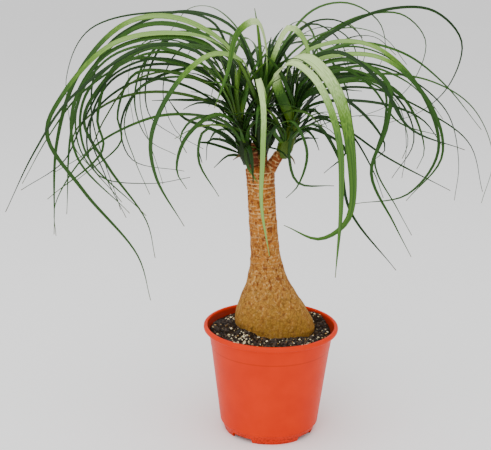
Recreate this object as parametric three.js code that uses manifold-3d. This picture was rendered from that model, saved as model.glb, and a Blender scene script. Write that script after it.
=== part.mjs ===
// A ponytail palm in a moulded nursery pot.
// Millimetres, +Z up, origin on the floor under the pot's centre, -Y is the front.
import * as THREE from 'three';
import { mergeVertices } from 'three/addons/utils/BufferGeometryUtils.js';
import Module from 'manifold-3d';

const wasm = await Module();
wasm.setup();

// ---------------------------------------------------------------- driving dimensions
const RIM_RADIUS = 85;        // over the rolled rim
const POT_HEIGHT = 140;
const RIM_HEIGHT = 6.5;       // height of the rolled rim
const MOUTH_RADIUS = 80;      // inside the rim
const SHOULDER_RADIUS = 78.5; // outside of the wall just under the rim
const STEP_HEIGHT = 113;      // faint step round the wall
const STEP_DEPTH = 0.5;
const FOOT_HEIGHT = 12;       // foot ring under the ledge
const LEDGE_RADIUS = 62.5;
const FOOT_TOP_RADIUS = 61;
const FOOT_RADIUS = 57;
const FOOT_WIDTH = 2.6;       // flat underside that the pot stands on
const WALL = 1.6;
const NOTCH_WIDTH = 29;       // four notches in the foot ring let water out
const NOTCH_HEIGHT = 6;
const NOTCH_TURN = -37;       // degrees from the front to the first notch
const DRAIN_RADIUS = 4;
const DRAIN_CIRCLE = 38;
const DRAIN_COUNT = 6;
const POT_SIDES = 44;

const GAP = 0.3;              // between pieces that rest on each other

const SOIL_LEVEL = 130;
const SOIL_RINGS = [0.25, 0.42, 0.56, 0.7, 0.82, 0.92, 1];

const BASE_LEVEL = 134;       // height where the swollen base is widest
const BASE_RADIUS = 50;
const BASE_DEPTH = 42;        // how far the base goes on down into the soil
const BASE_FLATTENING = 0.22; // the base is narrower from front to back
const FLARE_HEIGHT = 54;      // height over which the base narrows to the stem
const STEM_RADIUS = 17.4;
const STEM_TOP = 338;
const BASE_CENTRE = [5.5, 12];
const STEM_CENTRE = [-17.5, 3];
const LEAN_POWER = 0.65;
const SCAR_SPACING = 9;       // leaf scars ring the stem
const SCAR_DEPTH = 0.7;
const TRUNK_SIDES = 20;
const STUB_TAPER = 0.7;       // radius of a fork's tip, as a share of the radius at its foot
const PEG_SIDES = 10;         // for the forks and the shoots

const SHOOT_TAPER = 0.85;     // radius of a shoot's tip, as a share of the radius at its foot
const HEART_SIDES = [12, 8];  // round and from top to bottom
const BUD_SIDES = [10, 7];
const ROOT_LEVELS = [365, 475]; // a leaf is rooted higher up its shoot as it starts between these
const ROOT_SHARES = [0.12, 0.8]; // lowest and highest root, as shares of the shoot's length
const BLADE_KEEL = 1.3;       // depth of the keel under a blade
const BLADE_STEP = 37;        // length of one straight piece of a blade
const ROLL_REACH = 0.35;      // share of a blade's length over which it rolls
const BLADE_TIP = 0.22;       // width at the tip, as a share of the full width

const GOLDEN_ANGLE = 137.508;
const SEED = 20417;

// ---------------------------------------------------------------- colours
const finish = (color, roughness) => new THREE.MeshStandardMaterial({ color, roughness, metalness: 0 });
const TERRACOTTA_PLASTIC = finish('#d8491f', 0.42);
const POTTING_MIX = finish('#2a2019', 0.95);
const CORKY_BARK = finish('#a5783f', 0.85);
const LEAF_GREEN = finish('#3f7a2a', 0.5);

// ---------------------------------------------------------------- solids
function toSolid(geometry) {
  const bare = geometry.clone();
  bare.deleteAttribute('normal');
  bare.deleteAttribute('uv');
  const merged = mergeVertices(bare, 1e-4);
  return new wasm.Manifold(new wasm.Mesh({
    numProp: 3,
    vertProperties: new Float32Array(merged.attributes.position.array),
    triVerts: new Uint32Array(merged.index.array),
  }));
}

function toGeometry(solid) {
  const mesh = solid.getMesh();
  const geometry = new THREE.BufferGeometry();
  geometry.setAttribute('position', new THREE.Float32BufferAttribute(mesh.vertProperties, 3));
  geometry.setIndex(Array.from(mesh.triVerts));
  geometry.computeVertexNormals();
  return geometry;
}

// Skins a row of closed rings, each with the same number of points, and caps both ends.
// The rings turn anticlockwise when seen against the direction they are stacked in.
// A twisted skin splits each face along its outer diagonal, so that its sides can't cross.
function skin(rings, twisted = false) {
  const sides = rings[0].length;
  const points = rings.flat();
  const faces = [];
  for (let row = 0; row + 1 < rings.length; row += 1) {
    for (let side = 0; side < sides; side += 1) {
      const a = row * sides + side;
      const b = row * sides + (side + 1) % sides;
      const corners = [a, b, b + sides, a + sides];
      const [first, second, third] = corners.slice(1).map((at) => points[at].clone().sub(points[a]));
      const hollow = third.dot(first.cross(second)) > 0;
      const order = twisted && hollow ? [0, 1, 3, 1, 2, 3] : [0, 1, 2, 0, 2, 3];
      faces.push(...order.map((corner) => corners[corner]));
    }
  }
  const capEnd = (first, flip) => {
    const centre = new THREE.Vector3();
    for (let side = 0; side < sides; side += 1) centre.addScaledVector(points[first + side], 1 / sides);
    const hub = points.push(centre) - 1;
    for (let side = 0; side < sides; side += 1) {
      const a = first + side;
      const b = first + (side + 1) % sides;
      faces.push(...(flip ? [hub, b, a] : [hub, a, b]));
    }
  };
  capEnd(0, true);
  capEnd((rings.length - 1) * sides, false);
  const geometry = new THREE.BufferGeometry().setFromPoints(points);
  geometry.setIndex(faces);
  return geometry;
}

const ease = (t) => t * t * (3 - 2 * t);
const clamp = THREE.MathUtils.clamp;
const radians = THREE.MathUtils.degToRad;

// ---------------------------------------------------------------- pot
// Outside radius of the tapered wall at a height above the ledge.
function wallRadius(z) {
  const share = (z - FOOT_HEIGHT) / (POT_HEIGHT - RIM_HEIGHT - FOOT_HEIGHT);
  const step = z > STEP_HEIGHT ? 0 : STEP_DEPTH;
  return THREE.MathUtils.lerp(LEDGE_RADIUS, SHOULDER_RADIUS, share) - step * Math.min(1, share * 4);
}

// Inside radius of the pot at a height: one straight taper from the floor to the mouth.
const FLOOR_LEVEL = FOOT_HEIGHT + WALL;
const FLOOR_EDGE = LEDGE_RADIUS - WALL - 0.4;
const THROAT_LEVEL = POT_HEIGHT - RIM_HEIGHT;
const THROAT_RADIUS = SHOULDER_RADIUS - WALL;
function insideRadius(z) {
  const share = (z - FLOOR_LEVEL) / (THROAT_LEVEL - FLOOR_LEVEL);
  return THREE.MathUtils.lerp(FLOOR_EDGE, THROAT_RADIUS, Math.min(1, share));
}

function potSolid() {
  const underRim = POT_HEIGHT - RIM_HEIGHT;
  const profile = [
    [0, FOOT_HEIGHT],
    [FOOT_TOP_RADIUS - FOOT_WIDTH - 0.6, FOOT_HEIGHT],
    [FOOT_RADIUS - FOOT_WIDTH, 0],
    [FOOT_RADIUS, 0],
    [FOOT_TOP_RADIUS, FOOT_HEIGHT],
    [LEDGE_RADIUS, FOOT_HEIGHT + 0.8],
    [wallRadius(STEP_HEIGHT), STEP_HEIGHT],
    [wallRadius(STEP_HEIGHT + 1), STEP_HEIGHT + 1],
    [SHOULDER_RADIUS, underRim],
    [RIM_RADIUS - 1.6, underRim],
    [RIM_RADIUS, underRim + 1.8],
    [RIM_RADIUS, POT_HEIGHT - 2],
    [RIM_RADIUS - 1.6, POT_HEIGHT - 0.3],
    [MOUTH_RADIUS + 2, POT_HEIGHT],
    [MOUTH_RADIUS + 0.4, POT_HEIGHT - 0.5],
    [MOUTH_RADIUS, POT_HEIGHT - 2],
    [THROAT_RADIUS, THROAT_LEVEL],
    [FLOOR_EDGE, FLOOR_LEVEL],
    [0, FLOOR_LEVEL],
  ].map(([r, z]) => new THREE.Vector2(r, z));
  let pot = toSolid(new THREE.LatheGeometry(profile, POT_SIDES).rotateX(Math.PI / 2));

  for (let quarter = 0; quarter < 4; quarter += 1) {
    const notch = new THREE.BoxGeometry(NOTCH_WIDTH, 14, 2 * NOTCH_HEIGHT);
    notch.translate(0, -FOOT_RADIUS, 0);
    notch.rotateZ(radians(NOTCH_TURN + 90 * quarter));
    pot = pot.subtract(toSolid(notch));
  }
  for (let index = 0; index < DRAIN_COUNT; index += 1) {
    const drain = new THREE.CylinderGeometry(DRAIN_RADIUS, DRAIN_RADIUS, 8, 10).rotateX(Math.PI / 2);
    drain.translate(DRAIN_CIRCLE, 0, FLOOR_LEVEL);
    drain.rotateZ(radians((360 / DRAIN_COUNT) * index));
    pot = pot.subtract(toSolid(drain));
  }
  return pot;
}

// ---------------------------------------------------------------- trunk
// How much of the swelling is left at a height: 1 at the widest place, 0 up the stem.
const swelling = (z) => Math.exp(-(((Math.max(z, BASE_LEVEL) - BASE_LEVEL) / FLARE_HEIGHT) ** 2));

function trunkCentre(z) {
  const share = clamp((z - BASE_LEVEL) / (STEM_TOP - BASE_LEVEL), 0, 1);
  const x = THREE.MathUtils.lerp(BASE_CENTRE[0], STEM_CENTRE[0], share ** LEAN_POWER);
  const y = THREE.MathUtils.lerp(BASE_CENTRE[1], STEM_CENTRE[1], share);
  return [x, y];
}

function trunkRing(z, radius, extra) {
  const [cx, cy] = trunkCentre(z);
  const flat = 1 - BASE_FLATTENING * swelling(z);
  return Array.from({ length: TRUNK_SIDES }, (_, side) => {
    const angle = (2 * Math.PI * side) / TRUNK_SIDES;
    const lobe = 1 + 0.025 * swelling(z) * Math.cos(3 * angle + 0.6);
    const r = radius * lobe + extra;
    return new THREE.Vector3(cx + r * Math.cos(angle), cy + r * flat * Math.sin(angle), z);
  });
}

// The three woody stubs at the top of the stem that carry the green shoots.
const STUBS = [
  { foot: [-22, 2, 328], tip: [-36, 1, 364], radius: 9 },
  { foot: [-17, 5, 328], tip: [-16, 7, 371], radius: 8 },
  { foot: [-12, 3, 328], tip: [6, 4, 360], radius: 8.5 },
];

function trunkSolid(extra = 0) {
  const rings = [];
  const buriedSteps = 6;
  for (let step = 0; step <= buriedSteps; step += 1) {
    const rise = Math.sin((Math.PI / 2) * (step / buriedSteps));
    const z = BASE_LEVEL - (BASE_DEPTH + extra) * (1 - rise);
    const radius = BASE_RADIUS * Math.sqrt(Math.max(0.02, 1 - (1 - rise) ** 2));
    rings.push(trunkRing(z, radius, extra));
  }
  const flareSteps = 9;
  const scarStart = 206;
  for (let step = 1; step <= flareSteps; step += 1) {
    const z = THREE.MathUtils.lerp(BASE_LEVEL, scarStart, step / flareSteps);
    rings.push(trunkRing(z, STEM_RADIUS + (BASE_RADIUS - STEM_RADIUS) * swelling(z), extra));
  }
  for (let z = scarStart + SCAR_SPACING; z < STEM_TOP; z += SCAR_SPACING) {
    const radius = STEM_RADIUS + (BASE_RADIUS - STEM_RADIUS) * swelling(z);
    rings.push(trunkRing(z - 2, radius - SCAR_DEPTH / 2, extra));
    rings.push(trunkRing(z, radius + SCAR_DEPTH / 2, extra));
  }
  rings.push(trunkRing(STEM_TOP, STEM_RADIUS - 0.5, extra));
  rings.push(trunkRing(STEM_TOP + 6 + extra, STEM_RADIUS - 6, extra));
  let trunk = toSolid(skin(rings));
  for (const stub of STUBS) trunk = trunk.add(taperedPeg(stub, STUB_TAPER, extra));
  return trunk;
}

// A round peg from one point to another, narrower and rounded at its tip.
function taperedPeg({ foot, tip, radius }, taper, extra = 0) {
  const start = new THREE.Vector3(...foot);
  const along = new THREE.Vector3(...tip).sub(start);
  const length = along.length();
  const tipRadius = radius * taper;
  const profile = [
    new THREE.Vector2(0, 0),
    new THREE.Vector2(radius + extra, 0),
    new THREE.Vector2(tipRadius + extra, length - tipRadius),
    new THREE.Vector2(tipRadius * 0.75 + extra, length - tipRadius * 0.35),
    new THREE.Vector2(0, length + extra),
  ];
  const peg = new THREE.LatheGeometry(profile, PEG_SIDES);
  const turn = new THREE.Quaternion().setFromUnitVectors(new THREE.Vector3(0, 1, 0), along.normalize());
  peg.applyQuaternion(turn);
  peg.translate(...foot);
  return toSolid(peg);
}

// ---------------------------------------------------------------- soil
// Heaps and hollows of the potting mix: [x, y, height, spread].
const HEAPS = [
  [-50, 6, 8, 17],
  [60, 46, 9, 24],
  [58, -2, -4, 20],
  [-30, -48, -2, 18],
  [20, -52, 1.5, 16],
];

function soilLevel(x, y) {
  let level = SOIL_LEVEL + 0.6 * Math.sin(x / 7) * Math.cos(y / 6);
  for (const [hx, hy, height, spread] of HEAPS) {
    level += height * Math.exp(-((x - hx) ** 2 + (y - hy) ** 2) / (2 * spread ** 2));
  }
  return level;
}

function soilSolid() {
  const edgeRing = (radius, level) => Array.from({ length: POT_SIDES }, (_, side) => {
    const angle = (2 * Math.PI * side) / POT_SIDES;
    return new THREE.Vector3(radius * Math.cos(angle), radius * Math.sin(angle), level);
  });
  const bottom = FLOOR_LEVEL + GAP;
  const rings = [edgeRing(insideRadius(bottom) - GAP, bottom)];
  for (const share of [...SOIL_RINGS].reverse()) {
    rings.push(edgeRing(1, 0).map((unit) => {
      const rough = (insideRadius(SOIL_LEVEL) - GAP) * share;
      const level = soilLevel(unit.x * rough, unit.y * rough);
      const radius = (insideRadius(level) - GAP) * share;
      return new THREE.Vector3(unit.x * radius, unit.y * radius, level);
    }));
  }
  return toSolid(skin(rings)).subtract(trunkSolid(GAP));
}

// ---------------------------------------------------------------- leaves
// Green shoots: each leaf is rooted on the axis of one of them.
const SHOOTS = {
  left: { foot: [-31, 1, 352], tip: [-42, 0, 408], radius: 12 },
  middle: { foot: [-16, 6, 352], tip: [-17, 7, 432], radius: 13 },
  right: { foot: [2, 4.2, 354], tip: [15, 3, 399], radius: 15.1 },
};
const BUD_RADII = [12, 12, 18];   // the folded youngest leaves at the tip of each shoot

// The crowded leaf bases that join the shoots over the top of the stem.
const HEARTS = [
  { centre: [-15, 4, 377], radii: [29, 18, 36] },
  { centre: [22, -1.2, 385], radii: [12, 9, 14] },
];

// Leaves that stand out one by one. Each has its shoot, its width, how far it rolls over as it
// leaves the crown in degrees, and the places its midrib passes through on the way to its tip.
const LEAVES = [
  // far left, from the highest arch to the lowest
  ['left', 4, -55, [-75, 35, 510], [-155, 60, 520], [-235, 85, 495], [-267, 105, 435], [-266, 120, 360]],
  ['middle', 5, -60, [-50, 15, 505], [-105, 25, 525], [-165, 30, 510], [-210, 40, 475], [-228, 47, 405],
    [-195, 60, 270]],
  ['middle', 8, -75, [-60, -15, 490], [-120, -25, 522], [-175, -30, 515], [-228, -40, 460],
    [-255, -48, 380], [-260, -60, 270]],
  ['middle', 8, -75, [-65, -20, 490], [-125, -35, 505], [-190, -50, 492], [-245, -65, 435],
    [-262, -72, 392], [-220, -86, 330], [-157, -102, 258], [-142, -110, 207]],
  ['left', 7, -70, [-76, -24, 488], [-140, -39, 500], [-197, -51, 480], [-232, -64, 425],
    [-228, -75, 367], [-167, -90, 305]],
  ['left', 5, -60, [-65, -30, 462], [-105, -50, 490], [-150, -68, 492], [-228, -103, 440],
    [-267, -127, 382], [-296, -150, 320]],
  ['left', 4, -60, [-75, -14, 451], [-138, -27, 475], [-191, -35, 455], [-226, -45, 400],
    [-247, -52, 357], [-297, -60, 323]],
  ['left', 6, -65, [-72, -6, 446], [-137, -13, 472], [-188, -17, 466], [-211, -22, 403],
    [-205, -24, 366], [-272, -30, 305]],
  ['left', 6, -65, [-64, -11, 437], [-92, -20, 471], [-159, -32, 486], [-221, -46, 433],
    [-221, -56, 369], [-150, -70, 297]],
  ['left', 5, -60, [-60, 7, 408], [-128, 17, 429], [-199, 26, 416], [-250, 34, 366], [-218, 40, 316]],
  ['left', 5, -60, [-60, 12, 393], [-128, 28, 400], [-186, 40, 380], [-234, 50, 346], [-280, 64, 273],
    [-281, 70, 231]],
  ['left', 5, -55, [-67, -4, 448], [-138, -8, 466], [-194, -12, 447], [-221, -15, 390],
    [-204, -17, 333], [-179, -20, 281]],
  // hooked leaves on the left that curl back under themselves
  ['middle', 5, -65, [-61, 21, 466], [-122, 42, 494], [-162, 56, 460], [-176, 69, 406],
    [-160, 81, 358], [-126, 90, 337]],
  ['middle', 5, -60, [-65, 17, 467], [-126, 31, 493], [-158, 43, 442], [-155, 51, 393], [-119, 60, 364]],
  ['left', 5, -60, [-65, 24, 449], [-105, 39, 456], [-169, 62, 427], [-195, 78, 376],
    [-182, 91, 329], [-116, 110, 311]],
  ['left', 4, -55, [-84, 6, 427], [-160, 12, 445], [-226, 19, 393], [-219, 23, 325],
    [-154, 27, 313], [-104, 30, 321]],
  ['left', 8, -80, [-36, -29, 468], [-72, -51, 484], [-109, -73, 459], [-140, -104, 400],
    [-134, -125, 357], [-101, -150, 307]],
  ['middle', 8, -80, [-13, -33, 482], [-26, -59, 522], [-46, -73, 511], [-57, -99, 468], [-70, -120, 433]],
  // short low leaves on the left
  ['left', 7, -65, [-47, -30, 400], [-72, -52, 414], [-104, -82, 391], [-112, -106, 359], [-100, -120, 342]],
  ['left', 5, -65, [-57, -10, 382], [-84, -18, 390], [-91, -28, 356], [-66, -40, 314]],
  ['left', 5, -55, [-54, -6, 364], [-92, -14, 373], [-87, -20, 350]],
  ['left', 5, -55, [-57, 12, 370], [-80, 22, 370], [-84, 30, 343]],
  ['left', 5, -50, [-55, 10, 354], [-74, 20, 336]],
  ['left', 6, -60, [-65, 22, 378], [-115, 48, 394], [-134, 60, 415]],
  ['left', 6, -60, [-60, 14, 416], [-109, 29, 418], [-152, 40, 415]],
  ['left', 5, -60, [-64, -10, 394], [-95, -18, 404], [-113, -26, 382], [-105, -30, 364]],
  // the middle of the crown
  ['middle', 8, 5, [-21, -38, 430], [-22, -59, 457], [-16, -80, 430], [-16, -118, 381],
    [-17, -155, 334], [-8, -190, 287]],
  ['middle', 9, 75, [-7, -13, 466], [14, -26, 513], [30, -32, 500], [40, -40, 466]],
  ['middle', 11, 55, [-12, 9, 459], [8, 20, 504]],
  ['middle', 9, -50, [-27, 15, 458], [-44, 27, 487], [-51, 30, 481]],
  ['middle', 9, 60, [-13, 6, 464], [-7, 10, 498]],
  ['middle', 7, 45, [-29, -21, 441], [-47, -34, 477], [-60, -40, 490]],
  ['middle', 8, 65, [-6, -39, 451], [15, -60, 476], [42, -81, 460], [66, -120, 405],
    [69, -157, 341], [62, -200, 267]],
  ['right', 14, 95, [1, -29, 459], [32, -48, 480], [66, -70, 446], [84, -98, 372],
    [80, -122, 310], [49, -136, 291], [8, -150, 310]],
  ['right', 6, 35, [-2, -26, 393], [18, -46, 407], [35, -74, 376], [24, -99, 342], [11, -110, 331]],
  ['middle', 6, -10, [-34, -18, 370], [-33, -38, 353], [-21, -60, 337]],
  // the right side, from the highest arch to the lowest
  ['middle', 4, 55, [2, 15, 477], [42, 31, 528], [85, 40, 537], [125, 48, 514], [135, 57, 478],
    [129, 60, 460]],
  ['middle', 5, 60, [16, 14, 461], [71, 31, 505], [134, 45, 530], [192, 56, 528], [230, 65, 490],
    [219, 75, 434], [186, 83, 399], [147, 90, 383]],
  ['right', 7, 80, [15, -10, 467], [66, -20, 496], [115, -27, 491], [165, -36, 446], [190, -45, 375],
    [156, -53, 324], [94, -60, 313]],
  ['right', 5, 60, [26, 10, 459], [90, 19, 491], [152, 26, 480], [205, 33, 443], [257, 40, 385]],
  ['right', 6, 65, [22, -22, 461], [67, -39, 487], [115, -55, 458], [151, -73, 406], [212, -90, 385]],
  ['right', 4, 60, [35, 27, 435], [118, 62, 449], [198, 89, 438], [260, 112, 400], [295, 132, 331],
    [288, 150, 264]],
  ['right', 6, 65, [36, -5, 433], [110, -11, 453], [151, -14, 431], [178, -19, 370], [170, -20, 347]],
  ['right', 6, 65, [33, -14, 429], [63, -23, 438], [107, -36, 410], [128, -45, 376], [114, -50, 363]],
  ['right', 7, 70, [32, -15, 456], [82, -28, 477], [128, -40, 452], [128, -50, 405], [111, -60, 350],
    [139, -73, 293], [160, -80, 255]],
  ['right', 5, 60, [40, -10, 419], [115, -24, 427], [170, -34, 410], [196, -40, 379]],
  ['middle', 4, 55, [41, 25, 453], [110, 48, 464], [171, 65, 442], [222, 82, 397], [243, 98, 330],
    [243, 110, 277]],
  ['right', 4, 55, [51, 9, 429], [112, 18, 438], [198, 28, 402], [243, 34, 367], [264, 40, 306]],
  ['right', 7, 70, [30, -15, 463], [80, -26, 483], [130, -37, 476], [182, -50, 420], [192, -59, 370],
    [152, -70, 320]],
  ['right', 4, 55, [51, -3, 406], [82, -5, 395], [120, -9, 340], [133, -10, 308]],
  ['right', 4, 55, [48, -5, 404], [85, -9, 391], [133, -13, 360], [212, -20, 321]],
  ['right', 5, 60, [46, -13, 398], [75, -27, 362], [90, -41, 300], [146, -60, 232]],
  ['middle', 4, 50, [11, 21, 482], [42, 35, 512], [77, 45, 492], [91, 55, 452], [89, 60, 432]],
  ['right', 6, 60, [36, 16, 437], [88, 29, 450], [138, 40, 445]],
  ['right', 5, 60, [34, 16, 430], [98, 35, 462], [159, 49, 444], [203, 60, 406]],
  // short low leaves on the right
  ['right', 5, 55, [32, 5, 410], [48, 7, 412], [63, 10, 391]],
  ['right', 5, 55, [35, 8, 394], [47, 13, 413], [58, 18, 388]],
  ['right', 5, 50, [31, 21, 373], [55, 40, 371]],
  ['right', 5, 25, [21, -5, 392], [17, -13, 360], [28, -21, 328], [71, -30, 327]],
  ['right', 5, 60, [34, -5, 392], [85, -14, 367], [59, -20, 340]],
  // the two longest at the back
  ['middle', 6, 35, [-25, 60, 480], [-45, 130, 480], [-60, 180, 420], [-65, 200, 345]],
  ['middle', 5, -50, [5, 55, 475], [50, 125, 478], [95, 175, 425], [115, 200, 350]],
];

// Leaves that fill the crown by a rule: the golden angle spreads them, and each bends down evenly.
const FILLERS = [
  { count: 16, from: 12, to: 168, lift: [44, 70], length: [190, 270], droop: [95, 125], width: [4, 6],
    roll: [-40, 40] },
  { count: 10, from: 0, to: 360, lift: [64, 84], length: [60, 95], droop: [15, 50], width: [6, 10],
    roll: [-25, 25] },
];

// A small repeatable random source that gives numbers from 0 to 1.
function randomSource(seed) {
  let state = seed;
  return () => {
    state = (state + 0x6d2b79f5) | 0;
    let mixed = Math.imul(state ^ (state >>> 15), 1 | state);
    mixed = (mixed + Math.imul(mixed ^ (mixed >>> 7), 61 | mixed)) ^ mixed;
    return ((mixed ^ (mixed >>> 14)) >>> 0) / 4294967296;
  };
}

function fillerLeaves() {
  const random = randomSource(SEED);
  const pick = ([low, high]) => low + (high - low) * random();
  const names = Object.keys(SHOOTS);
  const leaves = [];
  let turn = 0;
  for (const group of FILLERS) {
    for (let index = 0; index < group.count; index += 1) {
      turn = (turn + GOLDEN_ANGLE) % 360;
      const heading = radians(group.from + ((group.to - group.from) * turn) / 360);
      const lift = pick(group.lift);
      const length = pick(group.length);
      const droop = pick(group.droop);
      const width = pick(group.width);
      const roll = pick(group.roll);
      const name = names[index % names.length];
      const point = new THREE.Vector3(...SHOOTS[name].tip);
      const steps = 5;
      const points = [];
      for (let step = 0; step < steps; step += 1) {
        const slope = radians(lift - droop * (step / (steps - 1)) ** 1.3);
        const out = (length / steps) * Math.cos(slope);
        point.x += out * Math.cos(heading);
        point.y += out * Math.sin(heading);
        point.z += (length / steps) * Math.sin(slope);
        points.push(point.toArray());
      }
      leaves.push([name, width, roll, ...points]);
    }
  }
  return leaves;
}

// The higher a leaf leaves the crown, the nearer to its shoot's tip it is rooted.
function leafRoot(name, first) {
  const { foot, tip } = SHOOTS[name];
  const [low, high] = ROOT_LEVELS;
  const share = clamp((first[2] - low) / (high - low), ...ROOT_SHARES);
  return new THREE.Vector3(...foot).lerp(new THREE.Vector3(...tip), share);
}

// Full in the lower half and narrowing to a point.
function bladeWidth(width, share) {
  const tip = clamp((share - 0.5) / 0.5, 0, 1);
  return width * (1.05 - 0.2 * share) * (1 - (1 - BLADE_TIP) * tip ** 1.7);
}

function bladeSolid([name, width, roll, ...places]) {
  const root = leafRoot(name, places[0]);
  const route = new THREE.CatmullRomCurve3(
    [root, ...places.map((place) => new THREE.Vector3(...place))], false, 'centripetal');
  const steps = clamp(Math.round(route.getLength() / BLADE_STEP), 4, 15);
  const last = places[places.length - 1];
  const outward = new THREE.Vector3(last[0] - root.x, last[1] - root.y, 0);
  const across = new THREE.Vector3(0, 0, 1).cross(outward).normalize();
  const rings = [];
  for (let step = 0; step <= steps; step += 1) {
    const share = step / steps;
    const place = route.getPointAt(share);
    const tangent = route.getTangentAt(share);
    across.addScaledVector(tangent, -across.dot(tangent)).normalize();
    const angle = radians(roll) * ease(Math.min(1, share / ROLL_REACH));
    const upper = tangent.clone().cross(across);
    const side = across.clone().multiplyScalar(Math.cos(angle)).addScaledVector(upper, Math.sin(angle));
    const face = tangent.clone().cross(side);
    const half = Math.max(0.7, bladeWidth(width, share) / 2);
    const keel = BLADE_KEEL * (1 - 0.35 * share);
    rings.push([
      place.clone().addScaledVector(side, half),
      place.clone().addScaledVector(side, -half),
      place.clone().addScaledVector(face, -keel),
    ]);
  }
  return toSolid(skin(rings, true));
}

function crownSolid() {
  const clumps = HEARTS.map(({ centre, radii }) => (
    toSolid(new THREE.SphereGeometry(1, ...HEART_SIDES).scale(...radii).translate(...centre))));
  let crown = clumps[0].add(clumps[1]);
  for (const shoot of Object.values(SHOOTS)) {
    const bud = new THREE.SphereGeometry(1, ...BUD_SIDES).scale(...BUD_RADII).translate(...shoot.tip);
    crown = crown.add(taperedPeg(shoot, SHOOT_TAPER)).add(toSolid(bud));
  }
  for (const leaf of [...LEAVES, ...fillerLeaves()]) crown = crown.add(bladeSolid(leaf));
  return crown.subtract(trunkSolid(GAP));
}

// ---------------------------------------------------------------- the scene graph
function piece(name, solid, material) {
  const mesh = new THREE.Mesh(toGeometry(solid), material);
  mesh.name = name;
  return mesh;
}

const group = new THREE.Group();
group.add(piece('pot', potSolid(), TERRACOTTA_PLASTIC));
group.add(piece('soil', soilSolid(), POTTING_MIX));
group.add(piece('trunk', trunkSolid(), CORKY_BARK));
group.add(piece('leaf_crown', crownSolid(), LEAF_GREEN));

export default group;
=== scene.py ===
"""A young ponytail palm in a moulded nursery pot.

The scene is built in this order: the camera and studio, the pot, the potting mix with its crumbs,
the bark of the stem, and the leaf crown. Lengths are millimetres: x to the right, y to the back and
z up from the ground under the pot's middle.
"""

import logging
import math
import random
from collections.abc import Callable, Iterable, Iterator, Sequence
from dataclasses import dataclass, field
from enum import Enum

import bmesh
import bpy
import numpy as np
from mathutils import Matrix, Vector, noise


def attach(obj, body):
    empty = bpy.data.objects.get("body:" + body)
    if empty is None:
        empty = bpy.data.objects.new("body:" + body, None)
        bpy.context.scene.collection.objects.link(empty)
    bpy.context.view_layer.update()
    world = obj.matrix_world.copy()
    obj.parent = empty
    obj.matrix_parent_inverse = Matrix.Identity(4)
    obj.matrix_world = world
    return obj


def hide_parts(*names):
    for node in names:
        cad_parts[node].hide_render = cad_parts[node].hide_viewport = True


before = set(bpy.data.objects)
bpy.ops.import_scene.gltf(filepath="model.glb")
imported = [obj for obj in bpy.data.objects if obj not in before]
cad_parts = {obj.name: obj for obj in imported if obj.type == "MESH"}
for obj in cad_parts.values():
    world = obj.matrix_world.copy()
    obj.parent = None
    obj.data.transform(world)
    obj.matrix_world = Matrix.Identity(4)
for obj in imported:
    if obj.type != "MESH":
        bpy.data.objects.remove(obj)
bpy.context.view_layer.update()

LOG = logging.getLogger("ponytail_palm")
MM = 0.001
BODY = "root"
WORD = 0xFFFFFFFF  # the largest 32-bit whole number
SHORTEST = 1e-6  # closer than this, two points count as one
GOLDEN_ANGLE = 137.508  # degrees from one leaf of a whorl to the next
CURVE_STEPS = 24  # short chords in each stretch of a smooth route
LENS_SIDES = 8  # corners of a blade's cross-section
UNDERSIDE = -0.2  # below this sine of the turn round it, a corner belongs to the lower face
ROLL_REACH = 0.35  # share of its length over which a blade rolls
BLUNT_END = 0.02  # least share of a limb's girth left where it is rounded off, squared

# Sockets that share a name with others and go by number: the two colours of a mix and its result,
# then the least and greatest of a random number and the number drawn.
MIX_A, MIX_B, MIXED = 6, 7, 2
DRAW_LOW, DRAW_HIGH, DRAWN = 2, 3, 1

Pair = tuple[float, float]
Place = tuple[float, float, float]
Inputs = dict[str | int, object]


# --------------------------------------------------------------------------- small helpers
def linear(hex_code: str) -> tuple[float, float, float, float]:
    """Turn an sRGB hex colour into linear RGBA.

    Args:
        hex_code: Six hex digits after a hash sign.

    Returns:
        The linear red, green and blue, with full alpha.
    """
    channels = [int(hex_code[i : i + 2], 16) / 255 for i in (1, 3, 5)]
    red, green, blue = (c / 12.92 if c <= 0.04045 else ((c + 0.055) / 1.055) ** 2.4 for c in channels)
    return (red, green, blue, 1.0)


def add_node(tree: bpy.types.NodeTree, kind: str, inputs: Inputs | None = None,
             stops: dict[float, str] | None = None, **settings: object) -> bpy.types.Node:
    """Add a node with its settings and what feeds it.

    Args:
        tree: The tree that gets the node.
        kind: The node's type name.
        inputs: Values or output sockets by input name or number.
        stops: For a colour ramp, its hex colours by their place on it.
        **settings: Properties of the node itself.

    Returns:
        The new node.
    """
    node = tree.nodes.new(kind)
    for name, value in settings.items():
        setattr(node, name, value)
    for key, value in (inputs or {}).items():
        socket = node.inputs[key]
        if isinstance(value, bpy.types.NodeSocket):
            tree.links.new(value, socket)
        else:
            socket.default_value = value
    if stops:
        elements = node.color_ramp.elements
        while len(elements) < len(stops):
            elements.new(0.5)
        for element, (place, code) in zip(elements, sorted(stops.items())):
            element.position = place
            element.color = linear(code)
    return node


def mesh_object(name: str, mesh: bpy.types.Mesh, smooth: bool = True) -> bpy.types.Object:
    """Put a mesh into the scene as an object at the origin.

    Args:
        name: The piece's name.
        mesh: Its mesh, already in its place.
        smooth: Whether its faces are shaded smooth.

    Returns:
        The new object.
    """
    mesh.name = name
    piece = bpy.data.objects.new(name, mesh)
    bpy.context.scene.collection.objects.link(piece)
    mesh.polygons.foreach_set("use_smooth", [smooth] * len(mesh.polygons))
    return piece


def settle(piece: bpy.types.Object) -> None:
    """Turn a piece's live modifiers into a plain mesh and take them off.

    Args:
        piece: The object that carries the modifiers.
    """
    graph = bpy.context.evaluated_depsgraph_get()
    solid = bpy.data.meshes.new_from_object(piece.evaluated_get(graph))
    old = piece.data
    piece.modifiers.clear()
    piece.data = solid
    solid.name = piece.name
    bpy.data.meshes.remove(old)


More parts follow.
